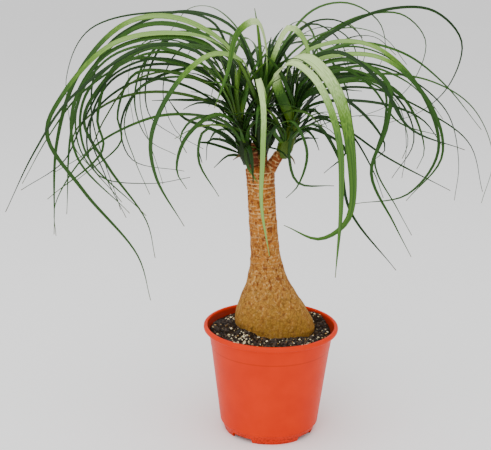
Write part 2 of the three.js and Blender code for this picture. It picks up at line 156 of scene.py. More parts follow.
def face_outwards(mesh: bpy.types.Mesh) -> None:
    """Turn every face of a closed mesh outwards.

    Args:
        mesh: The mesh to mend in place.
    """
    work = bmesh.new()
    work.from_mesh(mesh)
    bmesh.ops.recalc_face_normals(work, faces=work.faces)
    work.to_mesh(mesh)
    work.free()


def store(mesh: bpy.types.Mesh, name: str, values: np.ndarray) -> None:
    """Store one value or one vector for each vertex.

    Args:
        mesh: The mesh that gets the attribute.
        name: The attribute's name.
        values: A row for each vertex.
    """
    kind, key = ("FLOAT_VECTOR", "vector") if values.ndim == 2 else ("FLOAT", "value")
    attribute = mesh.attributes.new(name, kind, "POINT")
    attribute.data.foreach_set(key, np.ascontiguousarray(values, dtype=np.float32).ravel())


def places_of(mesh: bpy.types.Mesh) -> np.ndarray:
    """Read where the vertices of a mesh are.

    Args:
        mesh: The mesh.

    Returns:
        Three rows, x, y and z, in millimetres.
    """
    spots = np.empty(len(mesh.vertices) * 3, dtype=np.float32)
    mesh.vertices.foreach_get("co", spots)
    return (spots.reshape(-1, 3) / MM).T


def set_input(modifier: bpy.types.Modifier, name: str, value: object) -> None:
    """Set a Geometry Nodes modifier's input by the identifier behind its name.

    Args:
        modifier: The modifier.
        name: The input's name on the tree.
        value: What it is set to.
    """
    for item in modifier.node_group.interface.items_tree:
        if item.item_type == "SOCKET" and item.in_out == "INPUT" and item.name == name:
            modifier[item.identifier] = value
            return
    raise KeyError(name)


def revolve(profile: Sequence[Pair], sides: int) -> bpy.types.Mesh:
    """Turn a closed or axis-to-axis profile round the Z axis.

    Args:
        profile: Radius and height of each point, in millimetres.
        sides: How many steps go round.

    Returns:
        A closed mesh.
    """
    work = bmesh.new()
    points = [work.verts.new((r * MM, 0.0, z * MM)) for r, z in profile]
    edges = [work.edges.new(pair) for pair in zip(points, points[1:])]
    bmesh.ops.spin(work, geom=points + edges, cent=(0, 0, 0), axis=(0, 0, 1),
                   angle=math.tau, steps=sides, use_merge=True)
    bmesh.ops.remove_doubles(work, verts=work.verts, dist=SHORTEST)
    bmesh.ops.recalc_face_normals(work, faces=work.faces)
    mesh = bpy.data.meshes.new("revolved")
    work.to_mesh(mesh)
    work.free()
    return mesh


def grid_faces(rows: int, sides: int) -> list[tuple[int, int, int, int]]:
    """List the quads of a tube of stacked rings.

    Args:
        rows: How many rings there are.
        sides: How many points each ring has.

    Returns:
        The corner numbers of each quad.
    """
    return [
        (row * sides + side, row * sides + (side + 1) % sides,
         (row + 1) * sides + (side + 1) % sides, (row + 1) * sides + side)
        for row in range(rows - 1) for side in range(sides)
    ]


def arc(centre: Pair, radius: float, start: float, end: float, steps: int) -> list[Pair]:
    """Give points on a circular arc.

    Args:
        centre: The arc's centre.
        radius: Its radius.
        start: The angle it starts at, in degrees.
        end: The angle it ends at, in degrees.
        steps: How many straight pieces it has.

    Returns:
        The points, both ends included.
    """
    angles = [math.radians(start + (end - start) * i / steps) for i in range(steps + 1)]
    return [(centre[0] + radius * math.cos(a), centre[1] + radius * math.sin(a)) for a in angles]


def dress(piece: bpy.types.Object, finish: "Finish", *replaced: str) -> bpy.types.Object:
    """Give a piece its finish, its body and the frame node it stands for.

    Args:
        piece: The finished piece.
        finish: What it is made of.
        *replaced: The frame's nodes that it replaces.

    Returns:
        The same piece.
    """
    piece.data.materials.clear()
    piece.data.materials.append(finish.material())
    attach(piece, BODY)
    if replaced:
        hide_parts(*replaced)
    LOG.info("%s: %d faces, %s", piece.name, len(piece.data.polygons), finish.name)
    return piece


def stacked_rings(name: str, rings: Sequence[Sequence[Place]]) -> bpy.types.Mesh:
    """Skin a stack of rings into one closed mesh, with a point in the middle of each end.

    Args:
        name: The mesh's name.
        rings: The rings in order, in millimetres, each with the same count of points.

    Returns:
        The closed mesh, its two end points last.
    """
    sides = len(rings[0])
    spots = [Vector(spot) * MM for ring in rings for spot in ring]
    last = len(spots) - sides
    spots.append(sum(spots[:sides], Vector()) / sides)
    spots.append(sum(spots[last : last + sides], Vector()) / sides)
    faces: list[tuple[int, ...]] = list(grid_faces(len(rings), sides))
    for side in range(sides):
        after = (side + 1) % sides
        faces.append((len(spots) - 2, after, side))
        faces.append((len(spots) - 1, last + side, last + after))
    mesh = bpy.data.meshes.new(name)
    mesh.from_pydata(spots, [], faces)
    face_outwards(mesh)
    return mesh


def marked(mesh: bpy.types.Mesh, **columns: Sequence[float]) -> bpy.types.Mesh:
    """Store numbers for the vertices of a mesh.

    Args:
        mesh: The mesh that gets them.
        **columns: One number for each vertex, by the attribute's name.

    Returns:
        The same mesh.
    """
    for name, values in columns.items():
        store(mesh, name, np.array(values, dtype=np.float32))
    return mesh


def merged(name: str, parts: Sequence[bpy.types.Mesh]) -> bpy.types.Mesh:
    """Put several meshes and their attributes into one.

    Args:
        name: The new mesh's name.
        parts: The meshes, which are then removed.

    Returns:
        The new mesh.
    """
    work = bmesh.new()
    for part in parts:
        work.from_mesh(part)
    mesh = bpy.data.meshes.new(name)
    work.to_mesh(mesh)
    work.free()
    for part in parts:
        bpy.data.meshes.remove(part)
    return mesh


def small_random(seed: int) -> Callable[[], float]:
    """Make the same small random source as the leaf crown's solid uses.

    Args:
        seed: Its seed.

    Returns:
        A function that gives numbers from 0 to 1.
    """
    state, step = seed, 0x6D2B79F5

    def times(a: int, b: int) -> int:
        """Multiply as 32-bit whole numbers."""
        return (a * b) & WORD

    def draw() -> float:
        """Give the next number.

        Returns:
            A number from 0 up to 1.
        """
        nonlocal state
        state = (state + step) & WORD
        mixed = times(state ^ (state >> 15), 1 | state)
        mixed = ((mixed + times(mixed ^ (mixed >> 7), 61 | mixed)) & WORD) ^ mixed
        return (mixed ^ (mixed >> 14)) / (WORD + 1)

    return draw


def held(share: float) -> float:
    """Return a share held between 0 and 1."""
    return min(1.0, max(0.0, share))


def ease(share: float) -> float:
    """Return a share held between 0 and 1 and eased at both ends."""
    share = held(share)
    return share * share * (3 - 2 * share)


def smooth_route(places: Sequence[Vector], spacing: float) -> np.ndarray:
    """Run a smooth centripetal curve through some places and divide it evenly.

    Args:
        places: The places in order.
        spacing: Distance between its points.

    Returns:
        One row for each point.
    """
    points = [2 * places[0] - places[1], *places, 2 * places[-1] - places[-2]]
    dense: list[Vector] = []
    for p0, p1, p2, p3 in zip(points, points[1:], points[2:], points[3:]):
        t1 = (p1 - p0).length ** 0.5
        t2 = t1 + max(SHORTEST, (p2 - p1).length ** 0.5)
        t3 = t2 + (p3 - p2).length ** 0.5
        for step in range(CURVE_STEPS):
            t = t1 + (t2 - t1) * step / CURVE_STEPS
            a1 = p0.lerp(p1, t / t1)
            a2 = p1.lerp(p2, (t - t1) / (t2 - t1))
            a3 = p2.lerp(p3, (t - t2) / (t3 - t2))
            b1 = a1.lerp(a2, t / t2)
            b2 = a2.lerp(a3, (t - t1) / (t3 - t1))
            dense.append(b1.lerp(b2, (t - t1) / (t2 - t1)))
    dense.append(places[-1])
    line = np.array(dense)
    run = np.concatenate([[0.0], np.cumsum(np.linalg.norm(np.diff(line, axis=0), axis=1))])
    marks = np.linspace(0.0, run[-1], max(4, round(run[-1] / spacing)) + 1)
    return np.stack([np.interp(marks, run, line[:, axis]) for axis in range(3)], axis=1)


def blade_frames(midrib: np.ndarray,
                 route: "LeafRoute") -> Iterator[tuple[Vector, Vector, Vector, float]]:
    """Walk along a midrib and turn a frame with it.

    Args:
        midrib: Points of the midrib.
        route: The leaf, which says how far the blade rolls over.

    Yields:
        The place, the way across, the way up from the upper face, and the share of the length.
    """
    tangents = np.gradient(midrib, axis=0)
    outward = midrib[-1] - midrib[0]
    across = Vector((0.0, 0.0, 1.0)).cross(Vector((outward[0], outward[1], 0.0))).normalized()
    for index, (place, tangent) in enumerate(zip(map(Vector, midrib), map(Vector, tangents))):
        tangent.normalize()
        across = (across - tangent * across.dot(tangent)).normalized()
        share = index / (len(midrib) - 1)
        angle = math.radians(route.roll) * ease(share / ROLL_REACH)
        side = across * math.cos(angle) + tangent.cross(across) * math.sin(angle)
        yield place, side, tangent.cross(side), share


def blade_sweep(material: bpy.types.Material) -> bpy.types.NodeTree:
    """Build the tree that sweeps a channelled, lens-shaped blade along each chain of edges.

    Args:
        material: What the blades are made of.

    Returns:
        The tree, with the inputs Geometry and Margin Lift.
    """
    tree = bpy.data.node_groups.new("blade_sweep", "GeometryNodeTree")
    tree.interface.new_socket("Geometry", in_out="INPUT", socket_type="NodeSocketGeometry")
    tree.interface.new_socket("Margin Lift", in_out="INPUT", socket_type="NodeSocketFloat")
    tree.interface.new_socket("Geometry", in_out="OUTPUT", socket_type="NodeSocketGeometry")
    given = add_node(tree, "NodeGroupInput").outputs
    ribs = add_node(tree, "GeometryNodeMeshToCurve", {"Mesh": given["Geometry"]})
    lens = add_node(tree, "GeometryNodeCurvePrimitiveCircle", {
        "Resolution": LENS_SIDES, "Radius": MM})
    index = add_node(tree, "GeometryNodeInputIndex")
    ring = add_node(tree, "ShaderNodeMath", {
        0: index.outputs[0], 1: math.tau / LENS_SIDES}, operation="MULTIPLY")
    profile = add_node(tree, "GeometryNodeStoreNamedAttribute", {
        "Geometry": lens.outputs["Curve"], "Name": "ring", "Value": ring.outputs[0]},
        data_type="FLOAT", domain="POINT")
    swept = add_node(tree, "GeometryNodeCurveToMesh", {
        "Curve": ribs.outputs["Curve"], "Profile Curve": profile.outputs["Geometry"],
        "Fill Caps": True})
    stored = {
        name: add_node(tree, "GeometryNodeInputNamedAttribute", {"Name": name},
                       data_type=kind).outputs["Attribute"]
        for kind, names in (("FLOAT", ["ring"]),
                            ("FLOAT_VECTOR", ["midrib", "side_way", "rise_way", "back_way"]))
        for name in names
    }
    cosine, sine = (
        add_node(tree, "ShaderNodeMath", {0: stored["ring"]}, operation=wave).outputs[0]
        for wave in ("COSINE", "SINE"))
    width = add_node(tree, "ShaderNodeMath", {0: cosine}, operation="ABSOLUTE").outputs[0]
    lift = add_node(tree, "ShaderNodeMath", {0: width, 1: given["Margin Lift"]},
                    operation="POWER").outputs[0]
    place = stored["midrib"]
    for name, factor in (("side_way", cosine), ("rise_way", lift), ("back_way", sine)):
        part = add_node(tree, "ShaderNodeVectorMath", {0: stored[name], "Scale": factor},
                        operation="SCALE")
        place = add_node(tree, "ShaderNodeVectorMath", {0: place, 1: part.outputs[0]},
                         operation="ADD").outputs[0]
    shaped = add_node(tree, "GeometryNodeSetPosition", {
        "Geometry": swept.outputs["Mesh"], "Position": place})
    below = add_node(tree, "ShaderNodeMath", {0: sine, 1: UNDERSIDE}, operation="LESS_THAN")
    for name, value in (("across", cosine), ("under", below.outputs[0])):
        shaped = add_node(tree, "GeometryNodeStoreNamedAttribute", {
            "Geometry": shaped.outputs["Geometry"], "Name": name, "Value": value},
            data_type="FLOAT", domain="POINT")
    solid = add_node(tree, "GeometryNodeRealizeInstances", {"Geometry": shaped.outputs["Geometry"]})
    finished = add_node(tree, "GeometryNodeSetMaterial", {
        "Geometry": solid.outputs["Geometry"], "Material": material})
    add_node(tree, "NodeGroupOutput", {"Geometry": finished.outputs["Geometry"]})
    return tree


# --------------------------------------------------------------------------- finishes
@dataclass(frozen=True)
class Finish:
    """What a piece is made of.

    Args:
        name: The material's name.
        slot: The record's material slot; not used.
    """

    name: str
    slot: str

    def material(self) -> bpy.types.Material:
        """Make the material, or find it once it is made.

        Returns:
            The material.
        """
        known = bpy.data.materials.get(self.name)
        if known:
            return known
        material = bpy.data.materials.new(self.name)
        material.use_nodes = True
        tree = material.node_tree
        tree.nodes.clear()
        shader = add_node(tree, "ShaderNodeBsdfPrincipled")
        add_node(tree, "ShaderNodeOutputMaterial", {"Surface": shader.outputs["BSDF"]})
        self.paint(tree, shader)
        return material

    def paint(self, tree: bpy.types.NodeTree, shader: bpy.types.Node) -> None:
        """Set the shader's colours, roughness and relief. Each finish has its own."""
        raise NotImplementedError


@dataclass(frozen=True)
class MouldedPolypropylene(Finish):
    """Injection-moulded polypropylene in a terracotta orange: a satin skin with soft, wide sheen.

    Args:
        body: Colour of the wall.
        worn: Slightly redder colour that clouds it.
        stain_and_shade: Colour of the wall inside, soiled by the potting mix and darkened by painted shade
            under the rim.
        dirt: Colour of the dirt that sticks to the foot ring.
        crease_shade: Colour of the painted shade in the fold under the rim and along the step.
        crease_shade_levels: Heights of those two, in millimetres.
        crease_shade_depths: How strong the painted shade is in each.
        crease_shade_half_width: Half the width of its line, in millimetres.
        dirt_levels: Where the dirt starts and where it is thickest, in millimetres.
        cloud_size: Width of the faint clouds, in millimetres.
        speck_size: Width of the fine specks and scuffs, in millimetres.
    """

    body: str = "#DA3000"
    worn: str = "#D22C04"
    stain_and_shade: str = "#7E2416"
    dirt: str = "#7A2A16"
    crease_shade: str = "#9A2408"
    crease_shade_levels: Pair = (132.6, 113.0)
    crease_shade_depths: Pair = (0.6, 0.3)
    crease_shade_half_width: float = 0.9
    dirt_levels: Pair = (17.0, 4.0)
    cloud_size: float = 26.0
    speck_size: float = 2.4

    def paint(self, tree: bpy.types.NodeTree, shader: bpy.types.Node) -> None:
        """Cloud the wall, darken its inside with soiling and painted shade, paint shade into the folds
        under the rim and at the step, and dirty its foot.

        Args:
            tree: The material\'s nodes.
            shader: Its surface.
        """
        place = add_node(tree, "ShaderNodeTexCoord").outputs["Object"]
        cloud = add_node(tree, "ShaderNodeTexNoise",
                         {"Vector": place, "Scale": 1 / (self.cloud_size * MM), "Detail": 3.0})
        speck = add_node(tree, "ShaderNodeTexNoise",
                         {"Vector": place, "Scale": 1 / (self.speck_size * MM), "Detail": 5.0})
        wall = add_node(tree, "ShaderNodeValToRGB", {0: cloud.outputs["Fac"]},
                        {0.35: self.body, 0.7: self.worn}).outputs["Color"]
        inside = add_node(tree, "ShaderNodeAttribute", attribute_name="inside").outputs["Fac"]
        # the inside of the wall: soiling from the potting mix, with painted shade under the rim
        stained_and_shaded = add_node(tree, "ShaderNodeMix",
                           {"Factor": inside, MIX_A: wall, MIX_B: linear(self.stain_and_shade)}, data_type="RGBA")
        height = add_node(tree, "ShaderNodeSeparateXYZ", {"Vector": place}).outputs["Z"]
        low = add_node(tree, "ShaderNodeMapRange", {
            "Value": height, "From Min": self.dirt_levels[0] * MM,
            "From Max": self.dirt_levels[1] * MM, "To Min": 0.0, "To Max": 1.0})
        patch = add_node(tree, "ShaderNodeMapRange", {
            "Value": speck.outputs["Fac"], "From Min": 0.5, "From Max": 0.62,
            "To Min": 0.0, "To Max": 0.75})
        # painted shade: a darker line in the fold under the rim and along the step
        for level, depth in zip(self.crease_shade_levels, self.crease_shade_depths):
            near = add_node(tree, "ShaderNodeMath", {
                0: height, 1: level * MM, 2: self.crease_shade_half_width * MM}, operation="COMPARE")
            line = add_node(tree, "ShaderNodeMath", {0: near.outputs[0], 1: depth},
                            operation="MULTIPLY")
            stained_and_shaded = add_node(tree, "ShaderNodeMix", {
                "Factor": line.outputs[0], MIX_A: stained_and_shaded.outputs[MIXED], MIX_B: linear(self.crease_shade)},
                data_type="RGBA")
        share = add_node(tree, "ShaderNodeMath",
                         {0: low.outputs["Result"], 1: patch.outputs["Result"]}, operation="MULTIPLY")
        dirty = add_node(tree, "ShaderNodeMix", {
            "Factor": share.outputs[0], MIX_A: stained_and_shaded.outputs[MIXED], MIX_B: linear(self.dirt)},
            data_type="RGBA")
        tree.links.new(dirty.outputs[MIXED], shader.inputs["Base Color"])
        rough = add_node(tree, "ShaderNodeMapRange", {
            "Value": speck.outputs["Fac"], "From Min": 0.3, "From Max": 0.7,
            "To Min": 0.34, "To Max": 0.46})
        tree.links.new(rough.outputs["Result"], shader.inputs["Roughness"])
        bump = add_node(tree, "ShaderNodeBump", {
            "Height": cloud.outputs["Fac"], "Strength": 0.25, "Distance": 0.4 * MM})
        tree.links.new(bump.outputs["Normal"], shader.inputs["Normal"])
        shader.inputs["IOR"].default_value = 1.49
        shader.inputs["Specular IOR Level"].default_value = 0.06


@dataclass(frozen=True)
class PeatMix(Finish):
    """Moist peat and composted bark: near black, rough, with brown fibres and no gloss.

    Args:
        dark: Colour of the wet peat.
        brown: Colour of its drier crumbs.
        crumb_size: Width of a crumb, in millimetres.
    """

    dark: str = "#120C07"
    brown: str = "#3C2914"
    crumb_size: float = 2.2

    def paint(self, tree: bpy.types.NodeTree, shader: bpy.types.Node) -> None:
        """Mottle the peat and give it a crumbly relief.

        Args:
            tree: The material\'s nodes.
            shader: Its surface.
        """
        place = add_node(tree, "ShaderNodeTexCoord").outputs["Object"]
        crumb = add_node(tree, "ShaderNodeTexNoise", {
            "Vector": place, "Scale": 1 / (self.crumb_size * MM), "Detail": 6.0, "Roughness": 0.65})
        colour = add_node(tree, "ShaderNodeValToRGB", {0: crumb.outputs["Fac"]},
                          {0.42: self.dark, 0.72: self.brown})
        tree.links.new(colour.outputs["Color"], shader.inputs["Base Color"])
        bump = add_node(tree, "ShaderNodeBump", {
            "Height": crumb.outputs["Fac"], "Strength": 0.9, "Distance": 1.2 * MM})
        tree.links.new(bump.outputs["Normal"], shader.inputs["Normal"])
        shader.inputs["Roughness"].default_value = 0.92
        shader.inputs["Specular IOR Level"].default_value = 0.15


@dataclass(frozen=True)
class LooseCrumb(Finish):
    """Loose bits on the potting mix, such as puffed perlite or chipped bark: dry, matt and porous,
    so each bit is shaded softly and has no highlight.

    Args:
        shade: The darkest colour of a bit.
        light: The lightest colour of a bit.
        roughness: How matt it is.
        grain: Width of its pores or fibres, in millimetres.
    """

    shade: str = "#A8966A"
    light: str = "#F0E4BE"
    roughness: float = 0.85
    grain: float = 0.9

    def paint(self, tree: bpy.types.NodeTree, shader: bpy.types.Node) -> None:
        """Vary the colour from bit to bit and within each.

        Args:
            tree: The material\'s nodes.
            shader: Its surface.
        """
        place = add_node(tree, "ShaderNodeTexCoord").outputs["Object"]
        pores = add_node(tree, "ShaderNodeTexNoise",
                         {"Vector": place, "Scale": 1 / (self.grain * MM), "Detail": 3.0})
        each = add_node(tree, "ShaderNodeAttribute", attribute_name="bit_tone").outputs["Fac"]
        mixed = add_node(tree, "ShaderNodeMath", {0: pores.outputs["Fac"], 1: each}, operation="ADD")
        half = add_node(tree, "ShaderNodeMath", {0: mixed.outputs[0], 1: 0.5}, operation="MULTIPLY")
        colour = add_node(tree, "ShaderNodeValToRGB", {0: half.outputs[0]},
                          {0.3: self.shade, 0.65: self.light})
        tree.links.new(colour.outputs["Color"], shader.inputs["Base Color"])
        bump = add_node(tree, "ShaderNodeBump", {
            "Height": pores.outputs["Fac"], "Strength": 0.5, "Distance": 0.3 * MM})
        tree.links.new(bump.outputs["Normal"], shader.inputs["Normal"])
        shader.inputs["Roughness"].default_value = self.roughness


@dataclass(frozen=True)
class CorkBark(Finish):
    """Corky bark of a swollen succulent stem: dry and matt, ringed by old leaf scars, and cracked
    into small plates where the base has swollen.

    Args:
        base: Olive tan of the swollen base.
        middle: Tan of the flare.
        stem: Orange brown of the stem.
        top: Red brown of the youngest bark.
        young: Maroon of the bark just under the leaves.
        lip: Cream of the dry edge of a scar.
        plate: Pale tan of the weathered plates.
        fleck: Dark red brown of the flecks between them.
        crack_and_shade: Dark brown of the cracks, and painted shade in the dip under each scar's ridge.
        blotch_size: Width of the colour blotches, in millimetres.
        fibre_size: Width of the corky grain, in millimetres, coarser than it grows so that it shows.
        colours_from: Height where the colours start to run up the stem, in millimetres.
        colours_to: Height where they end.
        wander: How far the blotches move that run up or down, in millimetres.
        scarred: Height where plates and flecks start and where they are full, in millimetres.
    """

    base: str = "#A0752A"
    middle: str = "#AB7632"
    stem: str = "#AC6A26"
    top: str = "#85431C"
    young: str = "#4E1E16"
    lip: str = "#E2BE84"
    plate: str = "#CFA363"
    fleck: str = "#6E3312"
    crack_and_shade: str = "#4A2A10"
    blotch_size: float = 9.0
    fibre_size: float = 1.6
    colours_from: float = 130.0
    colours_to: float = 360.0
    wander: float = 24.0
    scarred: Pair = (150.0, 210.0)

    def paint(self, tree: bpy.types.NodeTree, shader: bpy.types.Node) -> None:
        """Run the colours up the stem, then lay the scars' lips and the cracks over them.

        Args:
            tree: The material\'s nodes.
            shader: Its surface.
        """
        place = add_node(tree, "ShaderNodeTexCoord").outputs["Object"]
        height = add_node(tree, "ShaderNodeSeparateXYZ", {"Vector": place}).outputs["Z"]
        blotch = add_node(tree, "ShaderNodeTexNoise", {
            "Vector": place, "Scale": 1 / (self.blotch_size * MM), "Detail": 4.0})
        fibre = add_node(tree, "ShaderNodeTexNoise", {
            "Vector": place, "Scale": 1 / (self.fibre_size * MM), "Detail": 4.0, "Roughness": 0.6})
        wander = add_node(tree, "ShaderNodeMapRange", {
            "Value": blotch.outputs["Fac"], "From Min": 0.3, "From Max": 0.7,
            "To Min": -self.wander * MM, "To Max": self.wander * MM})
        level = add_node(tree, "ShaderNodeMath", {0: height, 1: wander.outputs["Result"]},
                         operation="ADD")
        share = add_node(tree, "ShaderNodeMapRange", {
            "Value": level.outputs[0], "From Min": self.colours_from * MM,
            "From Max": self.colours_to * MM, "To Min": 0.0, "To Max": 1.0})
        colour = add_node(tree, "ShaderNodeValToRGB", {0: share.outputs["Result"]}, {
            0.0: self.base, 0.28: self.middle, 0.55: self.stem, 0.78: self.stem, 0.95: self.top})
        ringed = add_node(tree, "ShaderNodeMapRange", {
            "Value": level.outputs[0], "From Min": self.scarred[0] * MM,
            "From Max": self.scarred[1] * MM, "To Min": 0.3, "To Max": 1.0})
        grain = add_node(tree, "ShaderNodeMapRange", {
            "Value": fibre.outputs["Fac"], "From Min": 0.3, "From Max": 0.7,
            "To Min": 0.62, "To Max": 1.28})
        grained = add_node(tree, "ShaderNodeMix", {
            "Factor": 1.0, MIX_A: colour.outputs["Color"], MIX_B: grain.outputs["Result"]},
            data_type="RGBA", blend_type="MULTIPLY")
        worn = grained.outputs[MIXED]
        # weathered plates, then the flecks between them: size in millimetres, squeeze along the
        # stem, the stretch of noise that covers, how far it covers, and the colour
        for size, tall, first, last, depth, shade in (
                (3.4, 0.8, 0.54, 0.64, 0.7, self.plate), (3.8, 0.5, 0.54, 0.62, 0.85, self.fleck)):
            squeezed = add_node(tree, "ShaderNodeVectorMath", {0: place, 1: (1.0, 1.0, tall)},
                                operation="MULTIPLY")
            speck = add_node(tree, "ShaderNodeTexNoise", {
                "Vector": squeezed.outputs[0], "Scale": 1 / (size * MM), "Detail": 2.0})
            cover = add_node(tree, "ShaderNodeMapRange", {
                "Value": speck.outputs["Fac"], "From Min": first, "From Max": last,
                "To Min": 0.0, "To Max": depth})
            shown = add_node(tree, "ShaderNodeMath", {
                0: cover.outputs["Result"], 1: ringed.outputs["Result"]}, operation="MULTIPLY")
            worn = add_node(tree, "ShaderNodeMix", {
                "Factor": shown.outputs[0], MIX_A: worn, MIX_B: linear(shade)},
                data_type="RGBA").outputs[MIXED]
        # the crack mark holds the dark of the cracks and painted shade under each scar's ridge
        for name, shade in (("young", self.young), ("lip", self.lip), ("crack", self.crack_and_shade)):
            cover = add_node(tree, "ShaderNodeAttribute", attribute_name=name).outputs["Fac"]
            worn = add_node(tree, "ShaderNodeMix", {
                "Factor": cover, MIX_A: worn, MIX_B: linear(shade)}, data_type="RGBA").outputs[MIXED]
        tree.links.new(worn, shader.inputs["Base Color"])
        bump = add_node(tree, "ShaderNodeBump", {
            "Height": fibre.outputs["Fac"], "Strength": 0.6, "Distance": 0.5 * MM})
        tree.links.new(bump.outputs["Normal"], shader.inputs["Normal"])
        shader.inputs["Roughness"].default_value = 0.85
        shader.inputs["Specular IOR Level"].default_value = 0.15


@dataclass(frozen=True)
class StrapLeafSkin(Finish):
    """Skin of a leathery strap leaf: waxy, with fine parallel veins, paler beneath and yellow
    green where it clasps the shoot.

    Args:
        deep: Colour of the darkest leaves.
        green: Colour of an ordinary leaf.
        fresh: Colour of a bright leaf.
        light: Colour of a leaf with painted sheen on it.
        pale: Colour of the palest leaves, where the painted sheen is strongest.
        root: Yellow green near the shoot.
        dry: Colour of a dried tip or of an old leaf base.
        veins: How many veins run side by side across a blade, fewer than grow so that they show.
        breaks: How often a vein's shade changes along a blade.
        shuffle: How far the pattern moves from one tone of leaf to the next.
    """

    deep: str = "#0A2407"
    green: str = "#31551B"
    fresh: str = "#5F862C"
    light: str = "#90B068"
    pale: str = "#C6DC9A"
    root: str = "#7E9E22"
    dry: str = "#6E5426"
    veins: float = 7.0
    breaks: float = 3.0
    shuffle: float = 40.0

    def paint(self, tree: bpy.types.NodeTree, shader: bpy.types.Node) -> None:
        """Colour the blade by its tone, then its root, its age and its veins.

        Args:
            tree: The material\'s nodes.
            shader: Its surface.
        """
        along, across, tone, age, under = (
            add_node(tree, "ShaderNodeAttribute", attribute_name=name).outputs["Fac"]
            for name in ("along", "across", "tone", "age", "under"))
        stripes = add_node(tree, "ShaderNodeCombineXYZ", {
            axis: add_node(tree, "ShaderNodeMath", {0: value, 1: count},
                           operation="MULTIPLY").outputs[0]
            for axis, (value, count) in enumerate(
                ((across, self.veins), (along, self.breaks), (tone, self.shuffle)))})
        vein = add_node(tree, "ShaderNodeTexNoise",
                        {"Vector": stripes.outputs[0], "Scale": 1.0, "Detail": 2.0})
        spread = add_node(tree, "ShaderNodeMapRange", {
            "Value": vein.outputs["Fac"], "From Min": 0.3, "From Max": 0.7,
            "To Min": -0.11, "To Max": 0.11})
        paler = add_node(tree, "ShaderNodeMath", {0: under, 1: 0.14}, operation="MULTIPLY")
        toned = add_node(tree, "ShaderNodeMath", {0: tone, 1: spread.outputs["Result"]}, operation="ADD")
        lifted = add_node(tree, "ShaderNodeMath", {0: toned.outputs[0], 1: paler.outputs[0]},
                          operation="ADD")
        colour = add_node(tree, "ShaderNodeValToRGB", {0: lifted.outputs[0]}, {
            0.0: self.deep, 0.3: self.green, 0.52: self.fresh, 0.74: self.light, 0.95: self.pale})
        rooted = add_node(tree, "ShaderNodeMapRange", {
            "Value": along, "From Min": 0.09, "From Max": 0.02, "To Min": 0.0, "To Max": 0.4})
        based = add_node(tree, "ShaderNodeMix", {
            "Factor": rooted.outputs["Result"], MIX_A: colour.outputs["Color"], MIX_B: linear(self.root)},
            data_type="RGBA")
        tipped = add_node(tree, "ShaderNodeMapRange", {
            "Value": along, "From Min": 0.965, "From Max": 1.0, "To Min": 0.0, "To Max": 0.35})
        old = add_node(tree, "ShaderNodeMath", {0: tipped.outputs["Result"], 1: age},
                       operation="MAXIMUM")
        aged = add_node(tree, "ShaderNodeMix", {
            "Factor": old.outputs[0], MIX_A: based.outputs[MIXED], MIX_B: linear(self.dry)},
            data_type="RGBA")
        tree.links.new(aged.outputs[MIXED], shader.inputs["Base Color"])
        bump = add_node(tree, "ShaderNodeBump", {
            "Height": vein.outputs["Fac"], "Strength": 0.35, "Distance": 0.25 * MM})
        tree.links.new(bump.outputs["Normal"], shader.inputs["Normal"])
        shader.inputs["Roughness"].default_value = 0.42
        shader.inputs["IOR"].default_value = 1.45
        shader.inputs["Specular IOR Level"].default_value = 0.2


@dataclass(frozen=True)
class PaperSweep(Finish):
    """White seamless paper under the pot: matt and even.

    Args:
        tint: Its colour.
    """

    tint: str = "#FFFFFF"

    def paint(self, tree: bpy.types.NodeTree, shader: bpy.types.Node) -> None:
        """Colour the paper.

        Args:
            tree: The material\'s nodes.
            shader: Its surface.
        """
        shader.inputs["Base Color"].default_value = linear(self.tint)
        shader.inputs["Roughness"].default_value = 0.9


POT_PLASTIC = MouldedPolypropylene("moulded_polypropylene", "pot_plastic")
PEAT = PeatMix("peat_mix", "potting_mix")
PERLITE = LooseCrumb("puffed_perlite", "potting_mix")
TAN_CHIP = LooseCrumb("dry_bark_chip", "potting_mix", "#6E4A22", "#C79C58", 0.8, 1.5)
DARK_CHIP = LooseCrumb("wet_bark_chip", "potting_mix", "#0E0A07", "#3B2A1C", 0.7, 1.5)
BARK = CorkBark("cork_bark", "corky_bark")
LEAF_SKIN = StrapLeafSkin("strap_leaf_skin", "strap_leaf")
PAPER = PaperSweep("white_paper", "")


